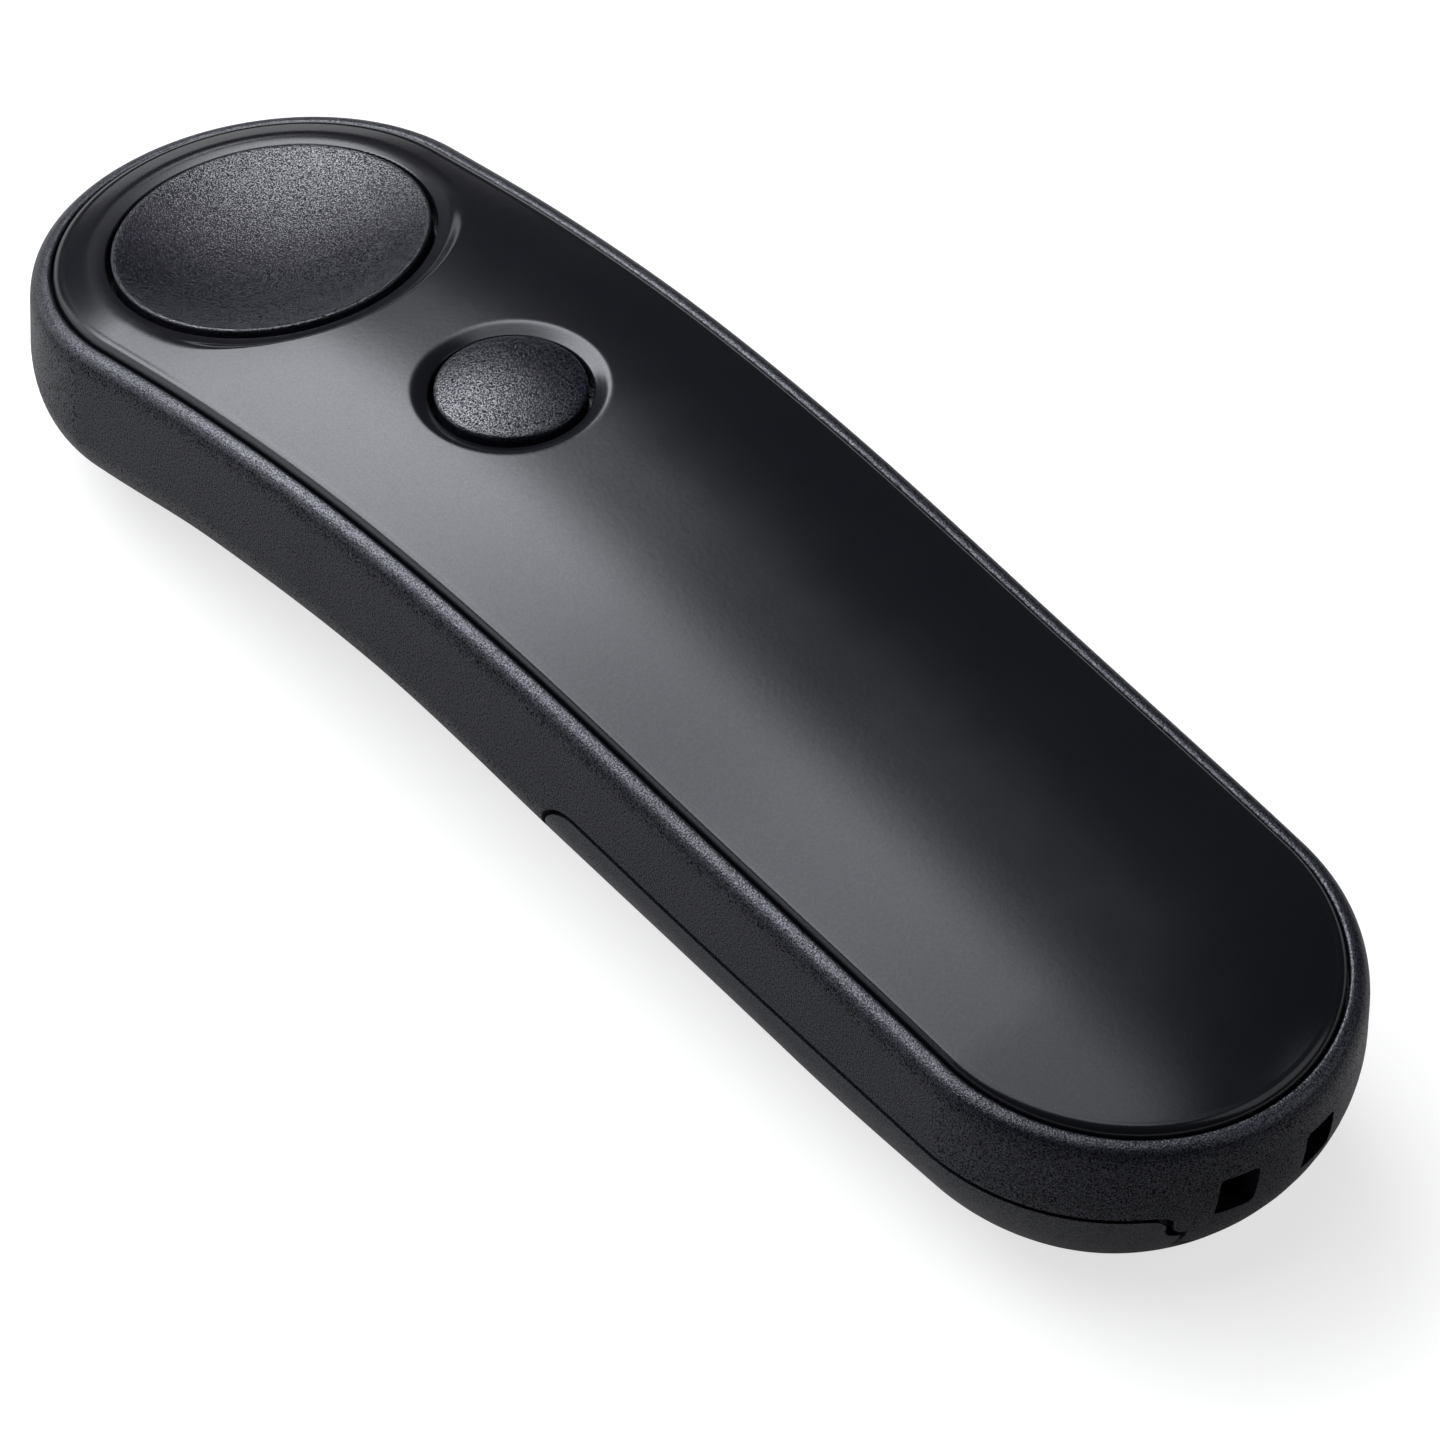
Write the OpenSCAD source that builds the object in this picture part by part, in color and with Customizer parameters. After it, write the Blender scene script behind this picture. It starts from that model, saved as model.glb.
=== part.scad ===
// Page turner remote: an arched pill-shaped housing with two press buttons and a battery door.
// X runs from the head to the tail, +Z is up, and Z = 0 is the surface it rests on.

/* [Body outline] */
// Overall length of the housing
body_l = 115.8; // [110:0.2:124]
// Overall width of the housing
body_w = 32; // [30:0.2:36]
// Width of the rim between the outer wall and the top plate's gap
rim_w = 1.4; // [1.2:0.1:2.4]
// Radius of the rim's outer edge
rim_r = 1.1; // [0.6:0.1:1.2]
// Radius of the rim's inner edge
rim_inner_r = 0.25; // [0.1:0.05:0.4]
// Thickness of the side housing's wall
wall = 1.9; // [1.4:0.1:2.2]
// Thickness of the underside cover and of the battery door
skin = 1.5; // [1.2:0.1:1.8]

/* [Rim height along the body] */
// Height of the rim at the head's tip
rim_tip_h = 11.4; // [10.6:0.1:12.2]
// Height of the rim beside the forward button
rim_head_h = 14.5; // [13.8:0.1:15.2]
// Height of the rim between the two buttons
rim_neck_h = 17.6; // [17:0.1:18.2]
// Height of the rim beside the back button
rim_back_h = 19.4; // [18.8:0.1:20]
// Height of the rim at the middle of the body
rim_mid_h = 19.6; // [19:0.1:20.4]
// Height of the rim over the front half of the cell
rim_cell_h = 18.2; // [17.6:0.1:19]
// Height of the rim over the rear half of the cell
rim_rear_h = 16.8; // [16.3:0.1:17.4]
// Height of the rim at the tail's end
rim_tail_h = 14.9; // [14.4:0.1:15.4]

/* [Underside height along the body] */
// Height of the underside at the head's tip
under_tip_h = 1.6; // [1:0.1:2.2]
// Height of the underside between the head's foot and the finger rest
under_slope_h = 3.2; // [2.6:0.1:3.6]
// Height of the finger rest's arch
under_arch_h = 4.7; // [4:0.1:5]
// Height of the underside at the door's front edge
under_door_h = 3.5; // [3:0.1:3.8]
// Height of the underside below the cell
under_cell_h = 2; // [1.6:0.1:2.2]
// Height of the underside at the tail's end
under_tail_h = 0.6; // [0.3:0.1:1.2]

/* [Lower edge rounding] */
// How far the lower edge's rounding reaches in from the side wall
round_w_mid = 10; // [8.6:0.2:10.4]
// How far it reaches in at the tail
round_w_tail = 8.8; // [8:0.2:9.6]
// Height of the lower edge's rounding
round_h_mid = 7; // [6:0.1:7.6]
// Height of the rounding at the tail
round_h_tail = 11.4; // [10.6:0.1:11.6]

/* [Top plate] */
// Gap between the plate and the rim
plate_gap = 0.12; // [0.08:0.01:0.2]
// Thickness of the plate
plate_t = 1.4; // [1.1:0.1:1.6]
// Radius of the plate's upper edge
plate_edge_r = 0.45; // [0.2:0.05:0.6]
// How far the plate's edge stands above the rim
plate_proud = 0.3; // [0.1:0.05:0.5]
// How much the plate's middle rises above its edge
plate_crown = 1.75; // [1.3:0.05:1.9]
// Width of the ledge that carries the plate
ledge_w = 1.6; // [1.3:0.1:1.7]
// Thickness of the ledge
ledge_t = 1.05; // [0.8:0.05:1.3]

/* [Forward button] */
// Distance from the head's tip to the forward button's axis
forward_from_tip = 15.9; // [15:0.1:17]
// Radius of the forward button
forward_r = 10.7; // [10:0.1:10.9]
// Depth of the dish in the forward button
dish_d = 1.3; // [0.6:0.1:1.6]
// How far the forward button's rim stands above its recess ring
forward_proud = 0.13; // [0:0.01:0.4]
// Outer radius of the recess ring round the forward button
forward_ring_r = 12.4; // [12:0.1:12.8]
// Travel of the forward button
forward_travel = 0.5; // [0.3:0.05:0.6]

/* [Back button] */
// Distance between the two buttons' axes
button_pitch = 24.4; // [23.6:0.1:25.4]
// Radius of the back button
back_r = 5.05; // [4.6:0.05:5.4]
// Height of the back button's dome above its edge
dome_h = 0.7; // [0.4:0.1:1]
// Outer radius of the recess ring round the back button
back_ring_r = 6.5; // [6.2:0.1:7]
// Depth of the recess ring round the back button
back_ring_d = 0.5; // [0.3:0.05:0.7]
// Travel of the back button
back_travel = 0.4; // [0.25:0.05:0.5]

/* [Buttons] */
// Gap between a button and its hole
button_gap = 0.36; // [0.25:0.01:0.45]
// Width of the collar under the plate round each button hole
collar_w = 1.5; // [1.2:0.1:1.6]
// Width of the lip that keeps a button under its collar
lip_w = 1.0; // [0.8:0.05:1.1]
// Thickness of that lip
lip_t = 0.8; // [0.6:0.1:1]
// Radius of a button's stem
stem_r = 1.9; // [1.5:0.1:2.2]

/* [Battery door] */
// How much longer the door is than the cell
door_margin = 5.6; // [5:0.1:6]
// Length of the housing's foot at the tail's tip
foot_l = 3.3; // [2.9:0.1:3.9]
// Depth of the door's seam below the rim at its front
seam_front_d = 7.85; // [7.2:0.05:8.2]
// Depth of the door's seam below the rim at the tail
seam_tail_d = 6.3; // [5.9:0.1:6.7]
// Radius of the door's front corners
door_corner_r = 3; // [2:0.1:3.4]
// Gap round the door
door_gap = 0.2; // [0.15:0.01:0.3]
// Half width of the housing's foot between the door's rear corners
foot_half_w = 6.3; // [5.8:0.1:7]

/* [Lanyard slots] */
// Width of each slot
slot_w = 2.8; // [2.4:0.1:3.2]
// Height of each slot
slot_h = 3.6; // [3.2:0.1:4]
// Distance between the slots' centres
slot_pitch = 6.8; // [6.4:0.1:7.4]
// Height of the slots' centre above the surface that the remote rests on
slot_z = 9.8; // [9.4:0.1:10.2]

/* [Cell] */
// Diameter of the AAA cell
cell_d = 10.5; // [10:0.1:10.6]
// Overall length of the AAA cell
cell_l = 44.5; // [43.5:0.1:44.7]
// Diameter of the cell's positive nub
nub_d = 3.8; // [3:0.1:4.2]
// Height of the nub
nub_h = 0.9; // [0.6:0.1:1.2]
// Distance from the tail's tip to the cell
cell_from_tail = 7.65; // [7.35:0.05:8]
// Radial clearance round the cell
cell_clear = 0.35; // [0.2:0.05:0.5]
// Length of the coil spring with the cell in place
spring_l = 4.2; // [3.6:0.1:4.6]
// Wire diameter of the coil spring
spring_wire = 0.5; // [0.4:0.05:0.6]
// Turns of the coil spring
spring_turns = 3.5; // [2.5:0.5:4.5]

/* [Inner frame and board] */
// Thickness of the frame's panels
panel_t = 1.2; // [1:0.1:1.4]
// Wall of the battery tray
tray_wall = 1.2; // [1:0.1:1.4]
// Depth of the button deck below the forward button's recess ring
deck_d = 5.4; // [5.2:0.1:5.8]
// Height of the posts between the deck and the board
standoff_h = 1.8; // [1.7:0.1:2.2]
// Thickness of the circuit board
board_t = 1; // [0.8:0.1:1.2]
// Radius of the circuit board's round end
board_r = 10.8; // [9.5:0.1:11]
// Half width of the circuit board behind the forward button
board_half_w = 9.5; // [9:0.1:10.5]
// Side of a switch body
switch_w = 5.2; // [4.4:0.1:6]
// Height of a switch body
switch_h = 1.6; // [1.4:0.1:1.7]
// Length of the radio module
radio_l = 11; // [9:0.5:12]
// Width of the radio module
radio_w = 9; // [8:0.5:10]
// Thickness of the radio module's board
radio_t = 0.6; // [0.5:0.05:0.7]
// Height of the radio module's shield
shield_h = 1; // [0.8:0.05:1.1]
// Length of a capacitor
capacitor_l = 1.6; // [1:0.2:2]
// How far a switch's plunger stands out
plunger_h = 0.6; // [0.55:0.05:0.8]
// Radius of a switch's plunger
plunger_r = 1.2; // [0.9:0.1:1.5]

/* [Fasteners] */
// Radius of a screw's shank
screw_r = 0.8; // [0.6:0.05:1]
// Radius of a screw's head
screw_head_r = 1.5; // [1.3:0.05:1.6]
// Height of a screw's head
screw_head_h = 0.9; // [0.7:0.05:1]
// Radius of the post that takes a screw
post_r = 1.9; // [1.6:0.1:2.1]

/* [Hidden] */
$fn = 48;

// Small running and seating clearances
seat = 0.05;
touch = 0.02;
over = 1;

// The outline is a stadium: two half circles and two straight sides
half_l = body_l / 2;
half_w = body_w / 2;
spine = half_l - half_w;
arc_n = 24;
line_n = 12;
RIM = concat(
    [for (i = [0 : arc_n]) let(a = 90 + 180 * i / arc_n) [-spine, cos(a), sin(a)]],
    [for (i = [1 : line_n - 1]) [-spine + 2 * spine * i / line_n, 0, -1]],
    [for (i = [0 : arc_n]) let(a = -90 + 180 * i / arc_n) [spine, cos(a), sin(a)]],
    [for (i = [1 : line_n - 1]) [spine - 2 * spine * i / line_n, 0, 1]]);
ring_n = len(RIM);

// Places along the body, from its two tips
forward_x = half_l - forward_from_tip;
back_x = forward_x - button_pitch;
door_rear_x = half_l - foot_l;
door_front_x = door_rear_x - cell_l - door_margin;
cell_x = half_l - cell_from_tail - cell_l / 2;

// A smooth line through points [x, z]: each piece is a cubic that leaves a point with its neighbours' slope
function chord(p, i) = (p[i + 1][1] - p[i][1]) / (p[i + 1][0] - p[i][0]);
function knot_slope(p, i) =
    i == 0 ? 2 * chord(p, 0) - knot_slope(p, 1)
    : i == len(p) - 1 ? 2 * chord(p, i - 1) - knot_slope(p, i - 1)
    : (p[i + 1][1] - p[i - 1][1]) / (p[i + 1][0] - p[i - 1][0]);
function knotted(p) = [for (i = [0 : len(p) - 1]) [p[i][0], p[i][1], knot_slope(p, i)]];
function piece_at(p, x, i = 0) = i >= len(p) - 2 || x < p[i + 1][0] ? i : piece_at(p, x, i + 1);
function line_at(p, x) =
    let(i = piece_at(p, x), h = p[i + 1][0] - p[i][0], t = (x - p[i][0]) / h)
    (2 * t ^ 3 - 3 * t ^ 2 + 1) * p[i][1] + (t ^ 3 - 2 * t ^ 2 + t) * h * p[i][2]
    + (3 * t ^ 2 - 2 * t ^ 3) * p[i + 1][1] + (t ^ 3 - t ^ 2) * h * p[i + 1][2];
function ease(x, x0, x1) = let(t = min(1, max(0, (x - x0) / (x1 - x0)))) t * t * (3 - 2 * t);

// Side view: the rim's line, the underside's line and the lower edge's rounding, at a place along X
RIM_LINE = knotted([[-half_l, rim_tip_h], [-0.769 * half_l, rim_head_h], [-0.527 * half_l, rim_neck_h],
                    [-0.285 * half_l, rim_back_h], [-0.009 * half_l, rim_mid_h], [0.337 * half_l, rim_cell_h],
                    [0.682 * half_l, rim_rear_h], [half_l, rim_tail_h]]);
// The line dips by this much beside its two lowest points
dip = 0.042;
UNDER_LINE = knotted([[-half_l, under_tip_h], [-0.803 * half_l, dip], [-0.51 * half_l, under_slope_h],
                      [-0.216 * half_l, under_arch_h], [0.095 * half_l, under_door_h],
                      [0.475 * half_l, under_cell_h], [0.855 * half_l, dip], [half_l, under_tail_h]]);
function rim_z(x) = line_at(RIM_LINE, x);
function under_z(x) = line_at(UNDER_LINE, x);
function tailness(x) = ease(x, 0.49 * half_l, half_l);
function round_w(x) = round_w_mid + (round_w_tail - round_w_mid) * tailness(x);
function round_h(x) = round_h_mid + (round_h_tail - round_h_mid) * tailness(x);
function rim_slope(x) = atan((rim_z(x + 0.5) - rim_z(x - 0.5)));
function seam_z(x) = rim_z(x) - seam_front_d
    + (seam_front_d - seam_tail_d) * max(0, (x - door_front_x) / (half_l - door_front_x)) ^ 3;

// Rings of points round the outline: d is the inset from the outer wall
function inset_point(r, d) = [r[0] + (half_w - d) * r[1], (half_w - d) * r[2]];
function rim_ring(d, dz) = [for (r = RIM) let(p = inset_point(r, d)) [p[0], p[1], rim_z(p[0]) + dz]];
// The lower edge's rounding: the angle is 0 at its top and 90 at the flat underside; t is the depth in the wall
function skin_point(r, angle, t) =
    let(x0 = inset_point(r, 0)[0], d = t + (round_w(x0) - t) * (1 - cos(angle)), p = inset_point(r, d))
    [p[0], p[1], under_z(p[0]) + t + (round_h(x0) - t) * (1 - sin(angle))];
function skin_ring(angle, t) = [for (r = RIM) skin_point(r, angle, t)];

// Closed solids from rings: a tube whose last ring meets its first, and a shell closed by two caps
function side_faces(n, count, wrap) = [for (j = [0 : count - 2 + wrap]) for (i = [0 : n - 1])
    let(a = j * n, b = ((j + 1) % count) * n, k = (i + 1) % n)
    each [[a + i, b + i, b + k], [a + i, b + k, a + k]]];
function mirrored(i) = (arc_n - i + ring_n) % ring_n;
function cap_faces(base, up) = [for (i = [arc_n / 2 : arc_n / 2 + ring_n / 2 - 1])
    let(a = base + i % ring_n, b = base + (i + 1) % ring_n, c = base + mirrored(i + 1), d = base + mirrored(i))
    each concat(b == c ? [] : [up ? [a, c, b] : [a, b, c]], a == d ? [] : [up ? [a, d, c] : [a, c, d]])];
module ring_tube(rings) {
    polyhedron([for (r = rings) each r], side_faces(ring_n, len(rings), 1));
}
module ring_shell(rings) {
    polyhedron([for (r = rings) each r],
               concat(side_faces(ring_n, len(rings), 0), cap_faces(0, true),
                      cap_faces(ring_n * (len(rings) - 1), false)));
}

// Frames that sub-parts are built in
forward_rise = 1.09;
back_rise = 1.97;
forward_tilt = rim_slope(-forward_x);
back_tilt = rim_slope(-back_x);
forward_z = rim_z(-forward_x) + forward_rise;
back_z = rim_z(-back_x) + back_rise;
module at_forward() translate([-forward_x, 0, forward_z]) rotate([0, -forward_tilt, 0]) children();
module at_back() translate([-back_x, 0, back_z]) rotate([0, -back_tilt, 0]) children();

// The button deck and the board lie at the mean of the two buttons' tilts
deck_tilt = (forward_tilt + back_tilt) / 2;
deck_z = forward_z - deck_d;
module at_deck() translate([-forward_x, 0, deck_z]) rotate([0, -deck_tilt, 0]) children();
function deck_along(x) = (x + forward_x) / cos(deck_tilt);
function deck_top_z(x) = deck_z + (x + forward_x) * tan(deck_tilt);
board_top = -panel_t - standoff_h;
plunger_top = board_top + switch_h + plunger_h;

// The cell lies along the door
cell_r = cell_d / 2;
cell_tilt = atan((under_z(cell_x - 18) - under_z(cell_x + 18)) / 36);
cell_z = under_z(cell_x) + skin + cell_clear + cell_r;
module at_cell() translate([cell_x, 0, cell_z]) rotate([0, cell_tilt, 0]) children();
function cell_axis_z(x) = cell_z - (x - cell_x) * tan(cell_tilt);
bore_r = cell_r + cell_clear;
contact_t = 0.4;
tray_half_w = bore_r + tray_wall;
tray_top = bore_r + panel_t;
tray_front = -cell_l / 2 - spring_l - contact_t - touch - tray_wall;
tray_rear = cell_l / 2 + contact_t + 2 * touch + tray_wall;

// The plate's upper surface at a distance e from its own edge, above the rim's line
plate_inset = rim_w + plate_gap;
plate_half_w = half_w - plate_inset;
function crown_at(e) = plate_crown * (1 - (1 - min(1, e / plate_half_w)) ^ 3);
function plate_rise(e) = plate_proud + crown_at(e);
function edge_distance(x, y) = plate_half_w - norm([max(0, abs(x) - spine), y]);
function plate_under_z(x, y) = rim_z(x) + plate_rise(edge_distance(x, y)) - plate_t;
// The ledge's top and underside, below the rim's line
ledge_top = 0.1 - plate_t;
ledge_low = ledge_top - ledge_t;

// Screws and posts
deck_post = [16 - forward_x, half_w - 7];
panel_posts = [[cell_x - 10, half_w - 5.8], [cell_x + 16, half_w - 6]];
// The cell's wire runs just inside the cover's screw posts
wire_r = 0.45;
wire_y = 7.35;
cover_screw_place = [door_front_x + 5, wire_y + wire_r + 0.2 + post_r];
ear_low = under_z(cover_screw_place[0]) + skin + 1.95;
ear_t = 1.6;
ear_sink = 0.6;
// Length of a post that stands on a panel tilted by a, from base_z up into the plate
function post_l(x, y, a, base_z) =
    (plate_under_z(x, y) + plate_t / 2 - base_z) / (cos(a) + tan(rim_slope(x)) * sin(a));

// Places along the board where the two buttons' stems meet their switches
function stem_foot(bx, bz, tilt) =
    let(gx = bx + forward_x, gz = bz - deck_z, c = tilt - deck_tilt,
        lx = gx * cos(deck_tilt) + gz * sin(deck_tilt), lz = -gx * sin(deck_tilt) + gz * cos(deck_tilt))
    lx + (lz - plunger_top) * tan(c);
// Depth of the centre of a stem's round tip below its button's ring plane
function tip_depth(bx, bz, tilt) =
    let(gx = bx + forward_x, gz = bz - deck_z,
        lz = -gx * sin(deck_tilt) + gz * cos(deck_tilt))
    (lz - plunger_top - stem_r - touch) / cos(tilt - deck_tilt);
forward_foot = stem_foot(-forward_x, forward_z, forward_tilt);
back_foot = stem_foot(-back_x, back_z, back_tilt);
tray_x = cell_x + tray_front;
step_x = tray_x - 4;
board_end = max(deck_along(tray_x - 6), back_foot + switch_w / 2 + 1);
board_screw_y = board_half_w - 2.3;
board_screw_places = [[2.2 - board_r, 0], [board_end - 4.4, board_screw_y], [board_end - 4.4, -board_screw_y]];

// Places of the cell's contacts along the cell
neg_face = -cell_l / 2;
pos_face = cell_l / 2;
neg_plate = neg_face - spring_l - contact_t;
pos_plate = pos_face + touch;

// Door furniture
hook_y = 5.2;
hook_w = 2;
hook_t = 1;
hook_reach = 2.2;
latch_w = 6;
latch_t = 1;

module rounded_rect(w, h, r) {
    square([w - 2 * r, h], center = true);
    square([w, h - 2 * r], center = true);
    for (sx = [-1, 1], sy = [-1, 1]) translate([sx * (w / 2 - r), sy * (h / 2 - r)]) circle(r, $fn = 24);
}
module both_sides() {
    children();
    mirror([0, 1, 0]) children();
}
module rod(a, b, r) {
    d = b - a;
    translate(a) rotate([0, acos(d[2] / norm(d)), atan2(d[1], d[0])]) cylinder(r = r, h = norm(d), $fn = 24);
}
module screw(shank) {
    // The head's bearing face is at 0 and the shank points up
    cylinder(r = screw_r, h = shank, $fn = 24);
    difference() {
        translate([0, 0, -screw_head_h]) cylinder(r = screw_head_r, h = screw_head_h, $fn = 32);
        for (a = [0, 90]) rotate([0, 0, a]) translate([0, 0, -screw_head_h])
            cube([1.8, 0.4, 0.9], center = true);
    }
}

// The space that the door takes out of the body, grown by a gap
module door_space(gap) {
    front = door_front_x - gap;
    r = door_corner_r + gap;
    top = seam_z(front + r) + gap;
    corner = [for (a = [180 : -11.25 : 90]) [front + r + r * cos(a), top - r + r * sin(a)]];
    crest = [for (i = [1 : 14]) let(x = front + r + (half_l + over - front - r) * i / 14) [x, seam_z(x) + gap]];
    difference() {
        rotate([90, 0, 0]) linear_extrude(height = body_w + 2 * over, center = true)
            polygon(concat([[front, -over]], corner, crest, [[half_l + over, -over]]));
        door_foot(gap);
    }
}
// The housing's foot between the door's rear corners, with an S-shaped shoulder up to the seam
module door_foot(gap) {
    y = foot_half_w - gap;
    r = 1;
    top = seam_z(half_l - 2.4) + gap;
    low = [for (a = [0 : 18 : 90]) [y + r * sin(a), top - r - r * cos(a)]];
    high = [for (a = [18 : 18 : 90]) [y + 2 * r - r * cos(a), top - r + r * sin(a)]];
    side = concat([[y, -2 * over]], low, high, [[y + 2 * r, top + over]]);
    translate([door_rear_x + gap, 0, 0]) rotate([90, 0, 90]) linear_extrude(height = half_l)
        polygon(concat(side, [for (i = [len(side) - 1 : -1 : 0]) [-side[i][0], side[i][1]]]));
}

module side_housing() {
    part_angle = 24;
    foot_angle = 76;
    function low(r) = r[0] > 0 && r[1] > cos(36) ? foot_angle : part_angle;
    function band_ring(share, t) = [for (r = RIM) skin_point(r, low(r) * share, t)];
    color([0.16, 0.16, 0.17]) difference() {
        ring_tube(concat(
            [rim_ring(rim_w, ledge_top), rim_ring(rim_w, -rim_inner_r),
             rim_ring(rim_w - 0.29 * rim_inner_r, -0.29 * rim_inner_r), rim_ring(rim_w - rim_inner_r, 0)],
            [for (a = [0 : 22.5 : 90]) rim_ring(rim_r * (1 - sin(a)), rim_r * (cos(a) - 1))],
            [for (s = [0 : 0.25 : 1]) band_ring(s, 0)],
            [for (s = [1, 0.5, 0]) band_ring(s, wall)],
            [rim_ring(wall, ledge_low), rim_ring(rim_w + ledge_w, ledge_low),
             rim_ring(rim_w + ledge_w, ledge_top)]));
        door_space(door_gap);
        for (s = [-1, 1]) translate([half_l, s * slot_pitch / 2, slot_z]) rotate([0, 90, 0])
            linear_extrude(height = 12, center = true) rounded_rect(slot_h, slot_w, 0.4);
    }
}

module top_plate() {
    lip_in = rim_w + ledge_w - plate_inset + 0.1;
    function ring(e, dz) = rim_ring(plate_inset + e, dz);
    module dish_cut(r1, z1, r2, slope) {
        // Everything above a shallow ring that steepens outside its outer radius
        top = 3;
        rotate_extrude($fn = 72) polygon([[0, z1], [r1, z1], [r2, 0], [r2 + 1.2, 1.2 * slope],
                                          [r2 + 1.2 + (top - 1.2 * slope) / (2 * slope), top], [0, top]]);
    }
    color([0.13, 0.13, 0.14]) difference() {
        union() {
            ring_shell(concat(
                [for (e = [10.4, 7, 4.6, 2.8, 1.4, plate_edge_r]) ring(e, plate_rise(e))],
                [for (s = [30, 60]) ring(plate_edge_r * (1 - sin(s)),
                                         plate_rise(plate_edge_r) - plate_edge_r * (1 - cos(s)))],
                [ring(0, plate_rise(plate_edge_r) - plate_edge_r), ring(0, ledge_top + seat),
                 ring(lip_in, ledge_top + seat)],
                [for (e = [lip_in + 0.4, 4.6, 10.4]) ring(e, plate_rise(e) - plate_t)]));
            at_forward() translate([0, 0, -2.7]) cylinder(r = forward_r + button_gap + collar_w, h = 2.2);
            at_back() translate([0, 0, -2.9]) cylinder(r = back_r + button_gap + collar_w, h = 2);
            both_sides() at_deck() translate([deck_along(deck_post[0]), deck_post[1], touch])
                cylinder(r = post_r, h = post_l(deck_post[0], deck_post[1], deck_tilt,
                                                deck_top_z(deck_post[0])) - touch);
            both_sides() for (p = panel_posts) at_cell() translate([p[0] - cell_x, p[1], tray_top + touch])
                cylinder(r = post_r, h = post_l(p[0], p[1], -cell_tilt,
                                                cell_axis_z(p[0]) + tray_top / cos(cell_tilt)) - touch);
        }
        at_forward() {
            translate([0, 0, -5]) cylinder(r = forward_r + button_gap, h = 10);
            dish_cut(forward_r + button_gap, -0.13, forward_ring_r, 0.3);
        }
        at_back() {
            translate([0, 0, -5]) cylinder(r = back_r + button_gap, h = 10);
            dish_cut(back_r + button_gap, -back_ring_d, back_ring_r, 0.6);
        }
        both_sides() at_deck() translate([deck_along(deck_post[0]), deck_post[1], -over])
            cylinder(r = screw_r + touch, h = over + 3.6);
        both_sides() for (p = panel_posts) at_cell() translate([p[0] - cell_x, p[1], tray_top - over])
            cylinder(r = screw_r + touch, h = over + 1.2);
    }
}

module underside_cover() {
    top_angle = 25.5;
    lip_angle = 15;
    lip_out = wall + 0.12;
    lip_in = lip_out + 0.9;
    ear_x = door_front_x - 4.1;
    color([0.17, 0.17, 0.18]) difference() {
        union() {
            difference() {
                ring_shell([skin_ring(90, skin), skin_ring(68, skin), skin_ring(48, skin),
                            skin_ring(top_angle, lip_in), skin_ring(lip_angle, lip_in),
                            skin_ring(lip_angle, lip_out), skin_ring(top_angle, lip_out),
                            skin_ring(top_angle, 0), skin_ring(38, 0), skin_ring(51, 0), skin_ring(64, 0),
                            skin_ring(77, 0), skin_ring(90, 0)]);
                translate([door_front_x - door_gap, -half_w - over, -over])
                    cube([body_l, body_w + 2 * over, body_w]);
            }
            both_sides() translate([ear_x, cover_screw_place[1] - post_r, ear_low])
                cube([cover_screw_place[0] - ear_x, 2 * post_r, ear_t]);
            both_sides() translate([cover_screw_place[0], cover_screw_place[1], ear_low])
                cylinder(r = post_r, h = ear_t);
            both_sides() translate([ear_x, cover_screw_place[1] - post_r, ear_low - 1.35])
                cube([door_front_x - door_gap - ear_x, 2 * post_r, 2]);
        }
        both_sides() translate([cover_screw_place[0], cover_screw_place[1], ear_low - over]) {
            cylinder(r = screw_r + 0.15, h = ear_t + 2 * over);
            cylinder(r = screw_head_r + 0.15, h = ear_sink + over);
        }
    }
}

module battery_door() {
    color([0.19, 0.19, 0.2]) {
        difference() {
            intersection() {
                ring_shell([skin_ring(90, skin), skin_ring(68, skin), skin_ring(46, skin), skin_ring(23, skin),
                            skin_ring(0, skin), rim_ring(skin, -4), rim_ring(0, -4), skin_ring(0, 0),
                            skin_ring(15, 0), skin_ring(30, 0), skin_ring(45, 0), skin_ring(60, 0),
                            skin_ring(75, 0), skin_ring(90, 0)]);
                door_space(0);
            }
            // Room for the housing's foot as the door swings down
            translate([door_rear_x - 0.5, -foot_half_w, 5.4]) cube([foot_l, 2 * foot_half_w, body_w]);
        }
        // Hooks that reach over the cover's rear edge
        hook_low = under_z(door_front_x - hook_reach) + skin + seat + 0.04;
        both_sides() translate([door_front_x - hook_reach, hook_y - hook_w / 2, hook_low])
            cube([hook_reach + 3, hook_w, hook_t]);
        both_sides() translate([door_front_x, hook_y - hook_w / 2, under_z(door_front_x + 3) + skin - 0.5])
            cube([3, hook_w, hook_t + 0.5]);
        // Saddles under the cell
        at_cell() for (x = [-12, 12]) difference() {
            translate([x - 0.6, -cell_r - 0.8, -cell_r - 1.2]) cube([1.2, 2 * cell_r + 1.6, 2.8]);
            translate([x - 1, 0, 0]) rotate([0, 90, 0]) cylinder(r = cell_r + 0.15, h = 2);
        }
        // Latch that stands behind the tray's rear wall
        at_cell() translate([tray_rear + seat, -latch_w / 2, -cell_r]) cube([latch_t, latch_w, 5]);
    }
}

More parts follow.
